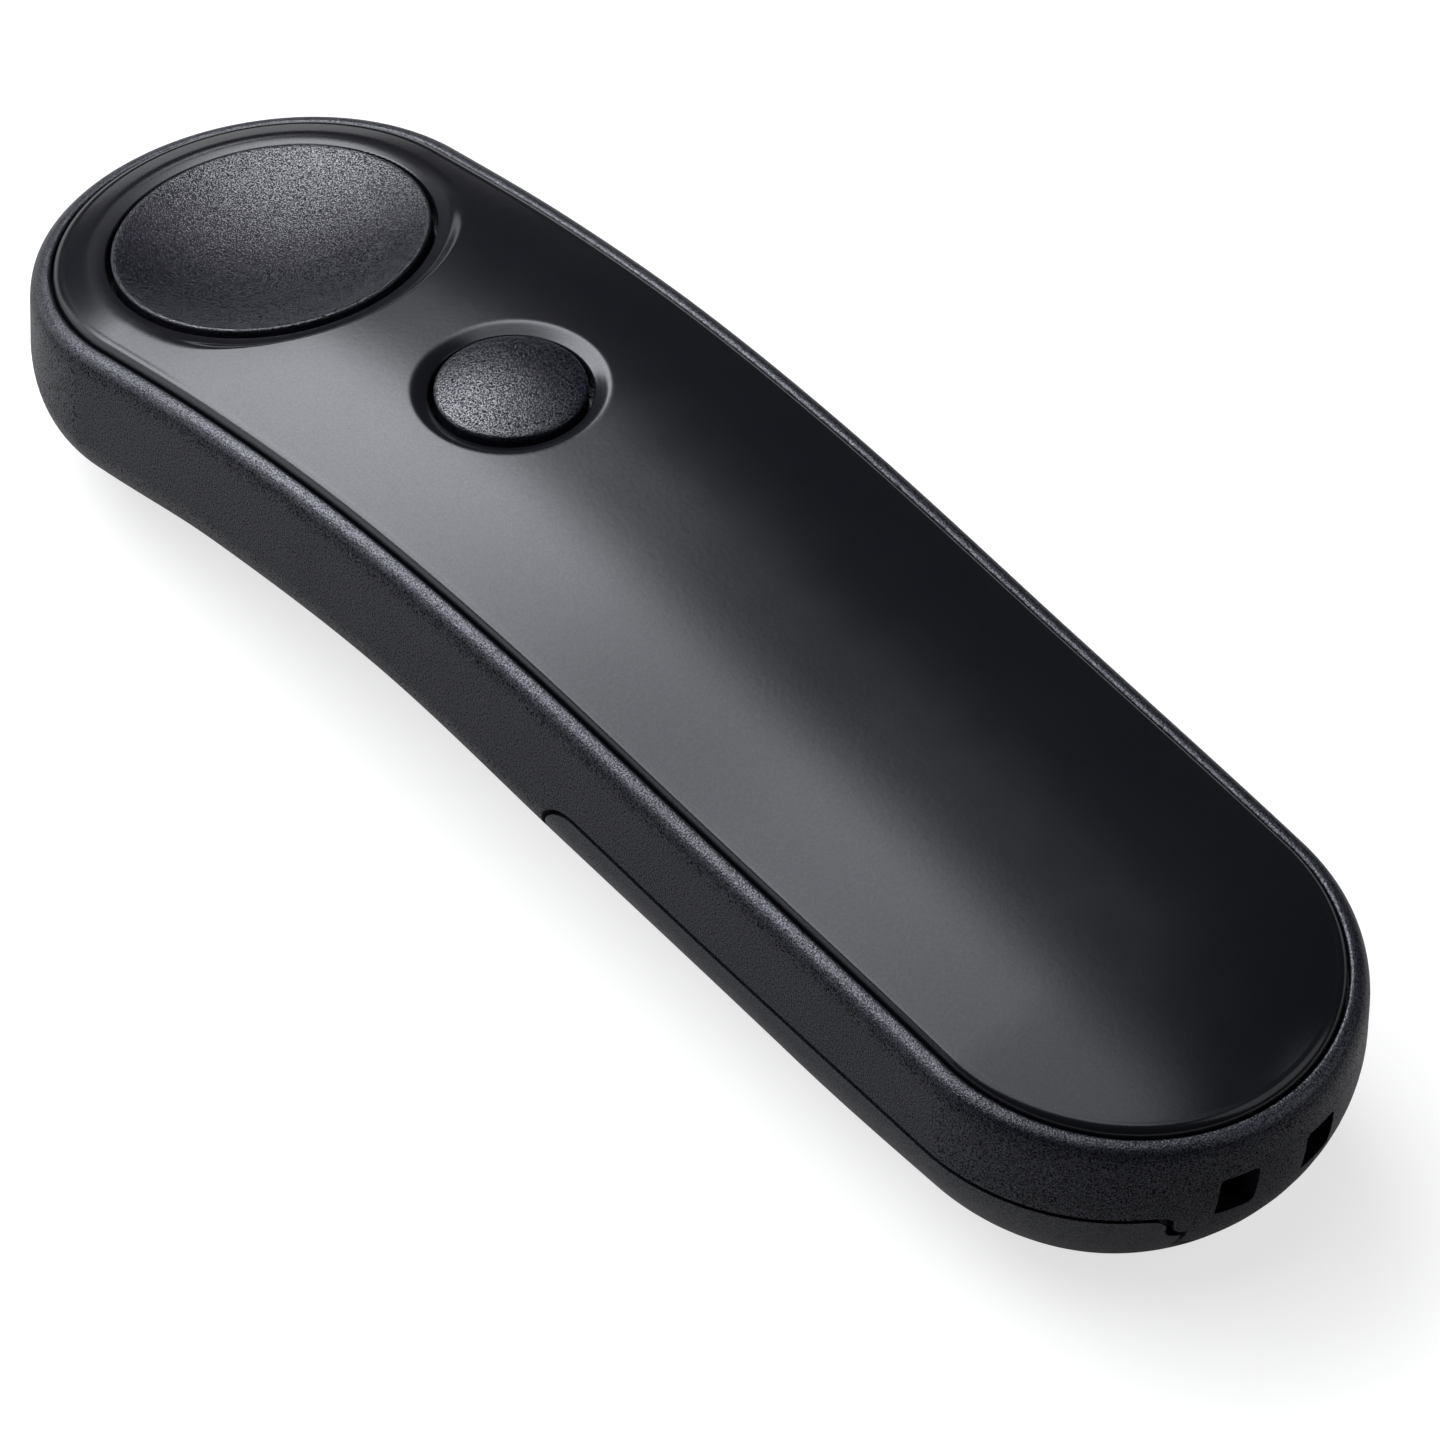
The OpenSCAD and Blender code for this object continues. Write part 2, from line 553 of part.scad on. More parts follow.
module forward_button() {
    r = forward_r;
    rim = 0.55;
    ball = ((r - rim) ^ 2 + dish_d ^ 2) / (2 * dish_d);
    tip = tip_depth(-forward_x, forward_z, forward_tilt);
    color([0.2, 0.2, 0.21]) at_forward() {
        difference() {
            union() {
                rotate_extrude($fn = 96) polygon(concat(
                    [[0, -3.65], [r + lip_w, -3.65], [r + lip_w, -3.65 + lip_t + 0.1], [r, -3.65 + lip_t + 0.1]],
                    [for (a = [0 : 22.5 : 90]) [r - 0.25 + 0.25 * cos(a), forward_proud - 0.25 + 0.25 * sin(a)]],
                    [[0, forward_proud]]));
            }
            translate([0, 0, forward_proud - dish_d + ball]) sphere(r = ball, $fn = 96);
            translate([0, 0, -5]) difference() {
                cylinder(r = r - 1.4, h = 2.4);
                cylinder(r = stem_r, h = 3);
            }
        }
        translate([0, 0, -tip]) cylinder(r = stem_r, h = tip - 3);
        translate([0, 0, -tip]) sphere(r = stem_r);
    }
}

module back_button() {
    r = back_r;
    ball = (r ^ 2 + dome_h ^ 2) / (2 * dome_h);
    edge = -0.1;
    tip = tip_depth(-back_x, back_z, back_tilt);
    color([0.2, 0.2, 0.21]) at_back() {
        difference() {
            intersection() {
                rotate_extrude($fn = 96) polygon(concat(
                    [[0, -2.95 - lip_t], [r + lip_w, -2.95 - lip_t], [r + lip_w, -2.95], [r, -2.95]],
                    [for (a = [0 : 22.5 : 90]) [r - 0.3 + 0.3 * cos(a), edge - 0.3 + 0.3 * sin(a)]],
                    [[r - 0.3, edge + 1.5], [0, edge + 1.5]]));
                translate([0, 0, edge + dome_h - ball - 0.02]) sphere(r = ball + 0.06, $fn = 96);
            }
            translate([0, 0, -6]) difference() {
                cylinder(r = r - 1.3, h = 6 - 1.5);
                cylinder(r = stem_r, h = 5);
            }
        }
        translate([0, 0, -tip]) cylinder(r = stem_r, h = tip - 1.3);
        translate([0, 0, -tip]) sphere(r = stem_r);
    }
}

module inner_frame() {
    deck_half_w = half_w - 3.1;
    panel_half_w = half_w - 3.3;
    function ledge_under(x) = rim_z(x) + ledge_low - touch;
    module lug(i, low) {
        // A lug whose top lies along the straight facets of the housing's ledge
        s = 2 * spine / line_n;
        x = -spine + s * i;
        a = (ledge_under(x - s) - ledge_under(x)) * 2 / s;
        b = (ledge_under(x + s) - ledge_under(x)) * 2 / s;
        both_sides() translate([0, half_w - wall - 0.2, 0]) rotate([90, 0, 0]) linear_extrude(height = 1.9)
            polygon([[x - 2, low], [x + 2, low], [x + 2, ledge_under(x) + b], [x, ledge_under(x)],
                     [x - 2, ledge_under(x) + a]]);
    }
    color([0.3, 0.3, 0.32]) difference() {
        union() {
            // Button deck, with its posts for the board
            at_deck() translate([0, 0, -panel_t]) {
                cylinder(r = deck_half_w + 0.4, h = panel_t, $fn = 72);
                translate([0, -deck_half_w, 0]) cube([deck_along(step_x + 1.2), 2 * deck_half_w, panel_t]);
            }
            at_deck() for (p = board_screw_places) translate([p[0], p[1], board_top + touch])
                cylinder(r = post_r, h = standoff_h + 0.5);
            lug(1, deck_top_z(-spine + 2 * spine / line_n) - panel_t);
            lug(4, deck_top_z(-spine + 8 * spine / line_n) - panel_t);
            // Step between the deck and the cell's panel
            translate([step_x, -panel_half_w, deck_top_z(step_x) - panel_t])
                cube([4.6, 2 * panel_half_w, cell_axis_z(step_x) + tray_top - deck_top_z(step_x) + panel_t]);
            // Panel over the cell, with the tray under it
            at_cell() {
                translate([tray_front, -panel_half_w, bore_r])
                    cube([spine - cell_x - tray_front, 2 * panel_half_w, panel_t]);
                translate([spine - cell_x - 0.8, 0, bore_r]) cylinder(r = panel_half_w, h = panel_t, $fn = 72);
                translate([tray_front, -tray_half_w, -1.5])
                    cube([tray_rear - tray_front, 2 * tray_half_w, bore_r + 2]);
            }
            lug(8, cell_axis_z(-spine + 16 * spine / line_n) + bore_r);
            lug(11, cell_axis_z(-spine + 22 * spine / line_n) + bore_r);
            both_sides() translate([cover_screw_place[0], cover_screw_place[1], ear_low + ear_t + touch])
                cylinder(r = post_r, h = cell_axis_z(cover_screw_place[0]) + bore_r + 0.6 - ear_low - ear_t);
        }
        at_cell() {
            translate([tray_front + tray_wall, 0, 0]) rotate([0, 90, 0])
                cylinder(r = bore_r, h = tray_rear - tray_front - 2 * tray_wall);
            translate([tray_front + tray_wall, -bore_r, -bore_r])
                cube([tray_rear - tray_front - 2 * tray_wall, 2 * bore_r, bore_r]);
            // Ways out for the two contacts' tabs
            translate([tray_front - over, -1.6, 1.6]) cube([tray_wall + 2 * over, 3.2, 1.1]);
            translate([pos_plate - 0.1, 2.9, 2.9]) cube([contact_t + 0.2, tray_half_w, bore_r - 3]);
            for (p = panel_posts) both_sides() translate([p[0] - cell_x, p[1], bore_r - over])
                cylinder(r = screw_r + 0.15, h = panel_t + 2 * over);
        }
        at_deck() {
            translate([forward_foot, 0, -3]) cylinder(r = stem_r + 1, h = 6);
            translate([back_foot, 0, -3]) cylinder(r = stem_r + 1, h = 6);
            for (p = board_screw_places) translate([p[0], p[1], board_top - over])
                cylinder(r = screw_r + touch, h = over + 2.7);
            both_sides() translate([deck_along(deck_post[0]), deck_post[1], -3])
                cylinder(r = screw_r + 0.15, h = 6);
        }
        both_sides() translate([cover_screw_place[0], cover_screw_place[1], ear_low])
            cylinder(r = screw_r + touch, h = ear_t + 4.2);
    }
}

module circuit_board() {
    color([0.05, 0.3, 0.15]) at_deck() translate([0, 0, board_top - board_t]) difference() {
        union() {
            cylinder(r = board_r, h = board_t, $fn = 72);
            translate([0, -board_half_w, 0]) cube([board_end, 2 * board_half_w, board_t]);
        }
        for (p = board_screw_places) translate([p[0], p[1], -over])
            cylinder(r = screw_r + 0.15, h = board_t + 2 * over);
    }
}

// A switch body on the board, and the plunger that its cap keeps in place
module switch_body(x) {
    at_deck() translate([x, 0, board_top + touch]) difference() {
        translate([0, 0, (switch_h - touch) / 2]) cube([switch_w, switch_w, switch_h - touch], center = true);
        translate([0, 0, 0.15]) cylinder(r = plunger_r + 0.7, h = switch_h - 0.5, $fn = 32);
        cylinder(r = plunger_r + 0.1, h = switch_h + over, $fn = 32);
    }
}
module switch_plunger(x) {
    at_deck() translate([x, 0, board_top]) {
        translate([0, 0, 0.9]) cylinder(r = plunger_r, h = switch_h + plunger_h - 0.9, $fn = 32);
        translate([0, 0, 0.9]) cylinder(r = plunger_r + 0.5, h = switch_h - 0.35 - 0.9, $fn = 32);
    }
}
module forward_switch() color([0.25, 0.25, 0.27]) switch_body(forward_foot);
module back_switch() color([0.25, 0.25, 0.27]) switch_body(back_foot);
module forward_plunger() color([0.75, 0.2, 0.15]) switch_plunger(forward_foot);
module back_plunger() color([0.75, 0.2, 0.15]) switch_plunger(back_foot);

// Pieces on the board between and in front of the switches
radio_x = forward_foot + 6.7;
part_y = radio_w / 2 + 1.5;
part_h = 0.8;
module chip(x, y, l, w) translate([x, y - w / 2, board_top + touch]) cube([l, w, part_h]);
module radio_module() {
    color([0.05, 0.2, 0.4]) at_deck() translate([radio_x, -radio_w / 2, board_top + touch]) difference() {
        cube([radio_l, radio_w, radio_t]);
        for (i = [0 : 5], s = [0, 1]) translate([(0.6 + 1.3 * i) * radio_l / 9, radio_w * s, -over])
            cylinder(r = 0.35, h = radio_t + 2 * over, $fn = 16);
    }
}
module radio_shield() {
    color([0.75, 0.75, 0.77]) at_deck()
        translate([radio_x + 0.6, -radio_w / 2 + 0.7, board_top + radio_t + 2 * touch]) difference() {
            cube([radio_l - 3, radio_w - 1.4, shield_h]);
            translate([0.2, 0.2, -over]) cube([radio_l - 3.4, radio_w - 1.8, over + shield_h - 0.2]);
        }
}
module timing_crystal() {
    color([0.8, 0.8, 0.8]) at_deck() chip(forward_foot - 7.7, part_y - 0.3, 2 * capacitor_l, 1.5);
}
module board_capacitors() {
    color([0.6, 0.5, 0.35]) at_deck() {
        for (i = [0 : 2]) chip(radio_x + 1 + 1.6 * capacitor_l * i, part_y, capacitor_l, capacitor_l / 2);
        for (i = [0, 2]) chip(radio_x + 1 + 1.6 * capacitor_l * i, -part_y, capacitor_l, capacitor_l / 2);
        chip(forward_foot - 7, -part_y, capacitor_l, capacitor_l / 2);
    }
}

module battery_cell() {
    color([0.7, 0.7, 0.2]) at_cell() rotate([0, 90, 0]) rotate_extrude($fn = 72) polygon(
        [[0, neg_face], [cell_r - 0.9, neg_face], [cell_r - 0.7, neg_face + 0.2], [cell_r - 0.3, neg_face + 0.2],
         [cell_r, neg_face + 0.5], [cell_r, pos_face - nub_h - 0.4], [cell_r - 0.4, pos_face - nub_h],
         [nub_d / 2 + 0.3, pos_face - nub_h], [nub_d / 2, pos_face - nub_h + 0.3],
         [nub_d / 2, pos_face - 0.2], [nub_d / 2 - 0.2, pos_face], [0, pos_face]]);
}

module negative_spring() {
    steps = 16;
    sides = 6;
    n = round(spring_turns * steps);
    r_wire = spring_wire / 2;
    start = neg_plate + contact_t + touch + r_wire;
    end = neg_face - touch - r_wire;
    // The coil lies flat for its first and last half turn
    function along(i) = start + (end - start) * ease(i, 0, n);
    function coil_r(i) = 3.9 - 1.1 * i / n;
    function spring_point(i, k) =
        let(a = 360 * i / steps, q = 360 * k / sides, r = coil_r(i) + r_wire * cos(q))
        [along(i) + r_wire * sin(q), r * cos(a), r * sin(a)];
    function tube(i, k) = i * sides + k % sides;
    color([0.8, 0.8, 0.82]) at_cell() polyhedron(
        [for (i = [0 : n]) for (k = [0 : sides - 1]) spring_point(i, k)],
        concat([for (k = [1 : sides - 2]) [0, k, k + 1]],
               [for (k = [1 : sides - 2]) [tube(n, 0), tube(n, k + 1), tube(n, k)]],
               [for (i = [0 : n - 1]) for (k = [0 : sides - 1])
                   each [[tube(i, k), tube(i + 1, k), tube(i + 1, k + 1)],
                         [tube(i, k), tube(i + 1, k + 1), tube(i, k + 1)]]]));
}

// Contact plates across the tray, low enough for its round top
plate_half = bore_r - 1.4;
module contact_plate(x) translate([x, -plate_half, -plate_half]) cube([contact_t, 2 * plate_half, 1.85 * plate_half]);
function cell_place(x, z) = [cell_x + x * cos(cell_tilt) + z * sin(cell_tilt),
                             cell_z - x * sin(cell_tilt) + z * cos(cell_tilt)];
function deck_place(x, z) = [-forward_x + x * cos(deck_tilt) - z * sin(deck_tilt),
                             deck_z + x * sin(deck_tilt) + z * cos(deck_tilt)];
module negative_contact() {
    // The plate, and a strip that runs forward through the tray's wall and lies on the board
    foot = deck_place(board_end - 3, board_top + touch);
    bend = deck_place(board_end + 0.3, board_top + touch);
    back = cell_place(neg_plate + contact_t / 2, 2);
    up = [0, contact_t];
    color([0.8, 0.75, 0.6]) {
        at_cell() contact_plate(neg_plate);
        translate([0, 1, 0]) rotate([90, 0, 0]) linear_extrude(height = 2)
            polygon([foot, bend, back, back + up, bend + up, foot + up]);
    }
}

module positive_contact() {
    color([0.8, 0.75, 0.6]) at_cell() {
        contact_plate(pos_plate);
        translate([pos_plate, 3, 3]) cube([contact_t, wire_y + 0.6 - 3, bore_r - 3.4]);
    }
}

// Wire from the positive contact to the board, under the panel and past the tray
module positive_wire() {
    function lift(p) = [p[0], wire_y, p[1]];
    run_z = bore_r - wire_r - 0.1;
    a = lift(cell_place(pos_plate - touch, run_z));
    b = lift(cell_place(tray_front + 4.5, run_z));
    c = [step_x + 3, wire_y, deck_top_z(step_x) - panel_t - wire_r - 0.3];
    d = lift(deck_place(board_end - 1.6, board_top + wire_r + 0.1));
    color([0.7, 0.1, 0.1]) {
        rod(a, b, wire_r);
        rod(b, c, wire_r);
        rod(c, d, wire_r);
        rod(d, lift(deck_place(board_end - 1.6, board_top + touch)), wire_r);
        for (p = [b, c, d]) translate(p) sphere(r = wire_r + 0.04, $fn = 24);
    }
}

module board_screws() {
    color([0.6, 0.6, 0.62]) at_deck() for (p = board_screw_places)
        translate([p[0], p[1], board_top - board_t - touch]) screw(3.4);
}
module plate_screws() {
    color([0.6, 0.6, 0.62]) {
        both_sides() at_deck() translate([deck_along(deck_post[0]), deck_post[1], -panel_t - touch])
            screw(panel_t + 3.4);
        both_sides() for (p = panel_posts) at_cell() translate([p[0] - cell_x, p[1], bore_r - touch])
            screw(panel_t + 1);
    }
}
module cover_screws() {
    color([0.6, 0.6, 0.62]) both_sides()
        translate([cover_screw_place[0], cover_screw_place[1], ear_low + ear_sink - touch]) screw(4.8);
}

side_housing();
top_plate();
underside_cover();
battery_door();
forward_button();
back_button();
inner_frame();
circuit_board();
forward_switch();
forward_plunger();
back_switch();
back_plunger();
radio_module();
radio_shield();
timing_crystal();
board_capacitors();
battery_cell();
negative_spring();
negative_contact();
positive_contact();
positive_wire();
board_screws();
plate_screws();
cover_screws();
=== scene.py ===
"""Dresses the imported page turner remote: fine shells for its plastic, procedural materials and a studio.

Lengths in the tables and shape functions are in millimetres, as in the part's source, and become metres in
the meshes. X runs from the head to the tail, Z is up, and the floor is at Z = 0.
"""

import math
from collections import namedtuple

import bpy
import bmesh
import numpy as np
from mathutils import Matrix, Vector
from mathutils.geometry import delaunay_2d_cdt


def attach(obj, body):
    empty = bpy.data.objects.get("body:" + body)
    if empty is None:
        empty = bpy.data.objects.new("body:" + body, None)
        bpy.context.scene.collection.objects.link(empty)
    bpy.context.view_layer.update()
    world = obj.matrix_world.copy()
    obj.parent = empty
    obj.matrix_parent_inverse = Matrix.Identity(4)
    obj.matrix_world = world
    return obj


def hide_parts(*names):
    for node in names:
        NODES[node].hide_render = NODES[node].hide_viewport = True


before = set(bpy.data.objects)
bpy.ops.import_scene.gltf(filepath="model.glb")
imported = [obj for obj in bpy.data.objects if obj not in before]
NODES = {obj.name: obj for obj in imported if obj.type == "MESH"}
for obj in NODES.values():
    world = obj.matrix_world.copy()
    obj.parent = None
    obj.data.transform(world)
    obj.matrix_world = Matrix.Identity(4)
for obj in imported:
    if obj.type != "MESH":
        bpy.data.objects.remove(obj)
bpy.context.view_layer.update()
MM = 0.001

# The part's own sizes, as its source names them
HALF_L, HALF_W = 57.9, 16.0
SPINE = HALF_L - HALF_W
RIM_W, RIM_INNER_R = 1.4, 0.25
WALL, SKIN = 1.9, 1.5
PLATE_INSET, PLATE_HALF_W = 1.52, 14.48
PLATE_T, PLATE_EDGE_R, PLATE_PROUD, PLATE_CROWN = 1.4, 0.7, 0.3, 1.75
LEDGE_TOP, LEDGE_LOW, LEDGE_END = -1.3, -2.35, 3.0
DOOR_FRONT, DOOR_REAR, DOOR_GAP = 4.5, 54.6, 0.2
FOOT_HALF_W, FOOT_TOP = 6.3, 5.4
SEAM_FRONT, SEAM_TAIL = 7.85, 6.3
SLOT_PITCH, SLOT_Z = 6.8, 9.8
FORWARD_X, BACK_X = -42.0, -17.6
FORWARD_R, BACK_R, BUTTON_GAP, COLLAR_W = 10.7, 5.05, 0.36, 1.5
STEM_R, PLUNGER_TOP = 1.9, 0.8
SCREW_R, SCREW_HEAD_R, SCREW_PLAY, POST_R = 0.8, 1.5, 0.15, 1.9
CELL_X, CELL_L, CELL_R, CELL_CLEAR = 28.0, 44.5, 5.25, 0.35
TOUCH, SEAT, CONTACT_T, TRAY_WALL = 0.02, 0.05, 0.4, 1.2

# How far the door's room reaches past the seam's middle line in the housing, and in the door itself
SEAM_OUT, SEAM_IN = 0.32, -0.06


# Smooth lines along the body
def knotted(points):
    """Knots of a smooth line with the slope at each knot, as in the part's source."""
    x, z = (np.array(c, float) for c in zip(*points))
    chord = np.diff(z) / np.diff(x)
    slope = np.empty(len(x))
    slope[1:-1] = (z[2:] - z[:-2]) / (x[2:] - x[:-2])
    slope[0], slope[-1] = 2 * chord[0] - slope[1], 2 * chord[-1] - slope[-2]
    return x, z, slope


def line_at(line, at):
    """Height of a knotted line: cubic pieces that meet with one slope."""
    x, z, m = line
    at = np.asarray(at, float)
    i = np.clip(np.searchsorted(x, at, side="right") - 1, 0, len(x) - 2)
    h = x[i + 1] - x[i]
    t = (at - x[i]) / h
    return ((2 * t**3 - 3 * t**2 + 1) * z[i] + (t**3 - 2 * t**2 + t) * h * m[i]
            + (3 * t**2 - 2 * t**3) * z[i + 1] + (t**3 - t**2) * h * m[i + 1])


RIM_LINE = knotted([(-HALF_L, 11.4), (-0.769 * HALF_L, 14.5), (-0.527 * HALF_L, 17.6),
                    (-0.285 * HALF_L, 19.4), (-0.009 * HALF_L, 19.6), (0.337 * HALF_L, 18.2),
                    (0.682 * HALF_L, 16.8), (HALF_L, 14.9)])
UNDER_LINE = knotted([(-HALF_L, 1.6), (-0.803 * HALF_L, 0.042), (-0.51 * HALF_L, 3.2),
                      (-0.216 * HALF_L, 4.7), (0.095 * HALF_L, 3.5), (0.475 * HALF_L, 2.0),
                      (0.855 * HALF_L, 0.042), (HALF_L, 0.6)])


def rim_z(x):
    return line_at(RIM_LINE, x)


def under_z(x):
    return line_at(UNDER_LINE, x)


def tailness(x):
    """0 up to about a quarter of the length from the tail, and 1 at its end."""
    t = np.clip((np.asarray(x, float) - 0.49 * HALF_L) / (0.51 * HALF_L), 0, 1)
    return t * t * (3 - 2 * t)


def round_w(x):
    """Width of the lower edge's rounding."""
    return 10 - 1.2 * tailness(x)


def round_h(x):
    """Height of the lower edge's rounding."""
    return 7 + 4.4 * tailness(x)


def seam_z(x):
    """Height of the seam between housing and door."""
    run = np.maximum(0, (np.asarray(x, float) - DOOR_FRONT) / (HALF_L - DOOR_FRONT))
    return rim_z(x) - SEAM_FRONT + (SEAM_FRONT - SEAM_TAIL) * run**3


def rim_tilt(x):
    return math.atan(float(rim_z(x + 0.5) - rim_z(x - 0.5)))


# The outline: two half circles and two straight sides, as rows of spine x, normal x, normal y
def outline(arc_n, line_n):
    a = np.radians(90 + 180 * np.arange(arc_n + 1) / arc_n)
    b = np.radians(-90 + 180 * np.arange(arc_n + 1) / arc_n)
    s = -SPINE + 2 * SPINE * np.arange(1, line_n) / line_n
    flat = np.zeros(line_n - 1)
    return np.concatenate([
        np.stack([np.full(arc_n + 1, -SPINE), np.cos(a), np.sin(a)], 1),
        np.stack([s, flat, flat - 1], 1),
        np.stack([np.full(arc_n + 1, SPINE), np.cos(b), np.sin(b)], 1),
        np.stack([-s, flat, flat + 1], 1)])


FINE = outline(96, 84)


def inset(ring, d):
    """The outline's x and y, moved inwards by d."""
    reach = HALF_W - np.asarray(d, float)
    return ring[:, 0] + reach * ring[:, 1], reach * ring[:, 2]


def rim_ring(d, dz):
    """A ring at inset d and at height dz over the rim's line."""
    x, y = inset(FINE, d)
    return np.stack([x, y, rim_z(x) + dz], 1)


def skin_ring(angle, t):
    """A ring of the lower edge's rounding, t inside the skin: 0 degrees at its top, 90 at the underside."""
    a = np.radians(angle)
    x0, _ = inset(FINE, 0)
    x, y = inset(FINE, t + (round_w(x0) - t) * (1 - np.cos(a)))
    return np.stack([x, y, under_z(x) + t + (round_h(x0) - t) * (1 - np.sin(a))], 1)


# Meshes
def mesh_object(name, points, faces):
    """A mesh from points in millimetres, its normals pointing outwards."""
    mesh = bpy.data.meshes.new(name)
    mesh.from_pydata([tuple(p) for p in np.asarray(points, float) * MM], [], faces)
    obj = bpy.data.objects.new(name, mesh)
    bpy.context.scene.collection.objects.link(obj)
    bm = bmesh.new()
    bm.from_mesh(mesh)
    bmesh.ops.remove_doubles(bm, verts=bm.verts, dist=1e-8)
    bmesh.ops.recalc_face_normals(bm, faces=bm.faces)
    bm.to_mesh(mesh)
    bm.free()
    return obj


def ring_faces(n, count, wrap):
    """Quads between rings of n points. With wrap the last ring joins the first."""
    faces = []
    for j in range(count - 1 + wrap):
        a, b = j * n, ((j + 1) % count) * n
        faces += [(a + i, a + (i + 1) % n, b + (i + 1) % n, b + i) for i in range(n)]
    return faces


def cap_faces(base, ring):
    """Strips across a ring, from each point to its mirror image in Y."""
    n = len(ring)
    key = {(round(r[0], 5), round(r[1], 5), round(r[2], 5)): i for i, r in enumerate(ring)}
    mirror = [key[(round(r[0], 5), round(r[1], 5), round(-r[2] + 0.0, 5))] for r in ring]
    faces = []
    for i in range(n):
        k = (i + 1) % n
        if ring[i, 2] + ring[k, 2] < 0:
            corners = dict.fromkeys([base + i, base + k, base + mirror[k], base + mirror[i]])
            if len(corners) > 2:
                faces.append(tuple(corners))
    return faces


def tube(name, rings):
    """A closed band through rings, the last of which joins the first."""
    return mesh_object(name, np.concatenate(rings), ring_faces(len(rings[0]), len(rings), 1))


def shell(name, rings):
    """A solid through rings, closed across its first and its last."""
    n = len(FINE)
    faces = ring_faces(n, len(rings), 0) + cap_faces(0, FINE) + cap_faces(n * (len(rings) - 1), FINE)
    return mesh_object(name, np.concatenate(rings), faces)


def placed(x, z, tilt):
    """A frame at (x, 0, z) whose X axis climbs at tilt radians."""
    return Matrix.Translation((x, 0, z)) @ Matrix.Rotation(-tilt, 4, "Y")


def across_x(x):
    """A frame at x that looks along the body: its X points along Y, its Y up and its Z along X."""
    return Matrix(((0, 0, 1, x), (1, 0, 0, 0), (0, 1, 0, 0), (0, 0, 0, 1)))


def moved(points, matrix):
    m = np.array(matrix)
    return np.asarray(points, float) @ m[:3, :3].T + m[:3, 3]


def lathe(name, profile, matrix, n):
    """Turns a profile of (radius, height), which starts and ends on the axis, round Z in n steps."""
    points, index = [], []
    for r, z in profile:
        index.append((len(points), r < 1e-6))
        if r < 1e-6:
            points.append((0, 0, z))
        else:
            points += [(r * math.cos(2 * math.pi * i / n), r * math.sin(2 * math.pi * i / n), z)
                       for i in range(n)]
    faces = []
    for (a, a_axis), (b, b_axis) in zip(index, index[1:]):
        for i in range(n):
            k = (i + 1) % n
            faces.append((a, b + k, b + i) if a_axis else (a + i, a + k, b) if b_axis
                         else (a + i, a + k, b + k, b + i))
    return mesh_object(name, moved(points, matrix), faces)


def prism(name, polygon, matrix, height):
    """A polygon in XY, extruded along +Z and then placed."""
    n = len(polygon)
    points = [(x, y, 0) for x, y in polygon] + [(x, y, height) for x, y in polygon]
    faces = [tuple(range(n)), tuple(range(2 * n - 1, n - 1, -1))]
    faces += [(i, (i + 1) % n, n + (i + 1) % n, n + i) for i in range(n)]
    return mesh_object(name, moved(points, matrix), faces)


def block(name, low, high, matrix=Matrix.Identity(4), bevel=0.15):
    """A box between two corners, with rounded edges."""
    (x0, y0, z0), (x1, y1, z1) = low, high
    corners = [(x0, y0), (x1, y0), (x1, y1), (x0, y1)]
    obj = prism(name, corners, Matrix.Translation((0, 0, z0)), z1 - z0)
    if bevel:
        bm = bmesh.new()
        bm.from_mesh(obj.data)
        bmesh.ops.bevel(bm, geom=bm.edges, offset=bevel * MM, segments=3, affect="EDGES", profile=0.5)
        bm.to_mesh(obj.data)
        bm.free()
    lift = Matrix(matrix)
    lift.translation *= MM
    obj.data.transform(lift)
    return obj


def remove(obj):
    mesh = obj.data
    bpy.data.objects.remove(obj)
    bpy.data.meshes.remove(mesh)


def cut(obj, other, operation="DIFFERENCE"):
    """A boolean of two solids, applied to the first. The second is used up."""
    mod = obj.modifiers.new("cut", "BOOLEAN")
    mod.operation, mod.object, mod.solver = operation, other, "EXACT"
    result = bpy.data.meshes.new_from_object(obj.evaluated_get(bpy.context.evaluated_depsgraph_get()))
    result.validate()
    obj.modifiers.clear()
    old, obj.data = obj.data, result
    bpy.data.meshes.remove(old)
    remove(other)
    return obj


def join(obj, others):
    """One object out of several that only touch or overlap."""
    bm = bmesh.new()
    bm.from_mesh(obj.data)
    for other in others:
        bm.from_mesh(other.data)
        remove(other)
    bm.to_mesh(obj.data)
    bm.free()
    return obj


def smooth(obj, angle=32):
    """Smooth shading, with edges sharper than the angle kept crisp."""
    bm = bmesh.new()
    bm.from_mesh(obj.data)
    bmesh.ops.remove_doubles(bm, verts=bm.verts, dist=1e-7)
    bmesh.ops.dissolve_degenerate(bm, dist=1e-7, edges=bm.edges)
    for face in bm.faces:
        face.smooth = True
    for edge in bm.edges:
        edge.smooth = len(edge.link_faces) == 2 and edge.calc_face_angle(0) < math.radians(angle)
    bm.to_mesh(obj.data)
    bm.free()
    return obj


def arc(cx, cz, r, a0, a1, n):
    """Points (x, z) of an arc, angles in degrees."""
    return [(cx + r * math.cos(math.radians(a0 + (a1 - a0) * i / n)),
             cz + r * math.sin(math.radians(a0 + (a1 - a0) * i / n))) for i in range(n + 1)]


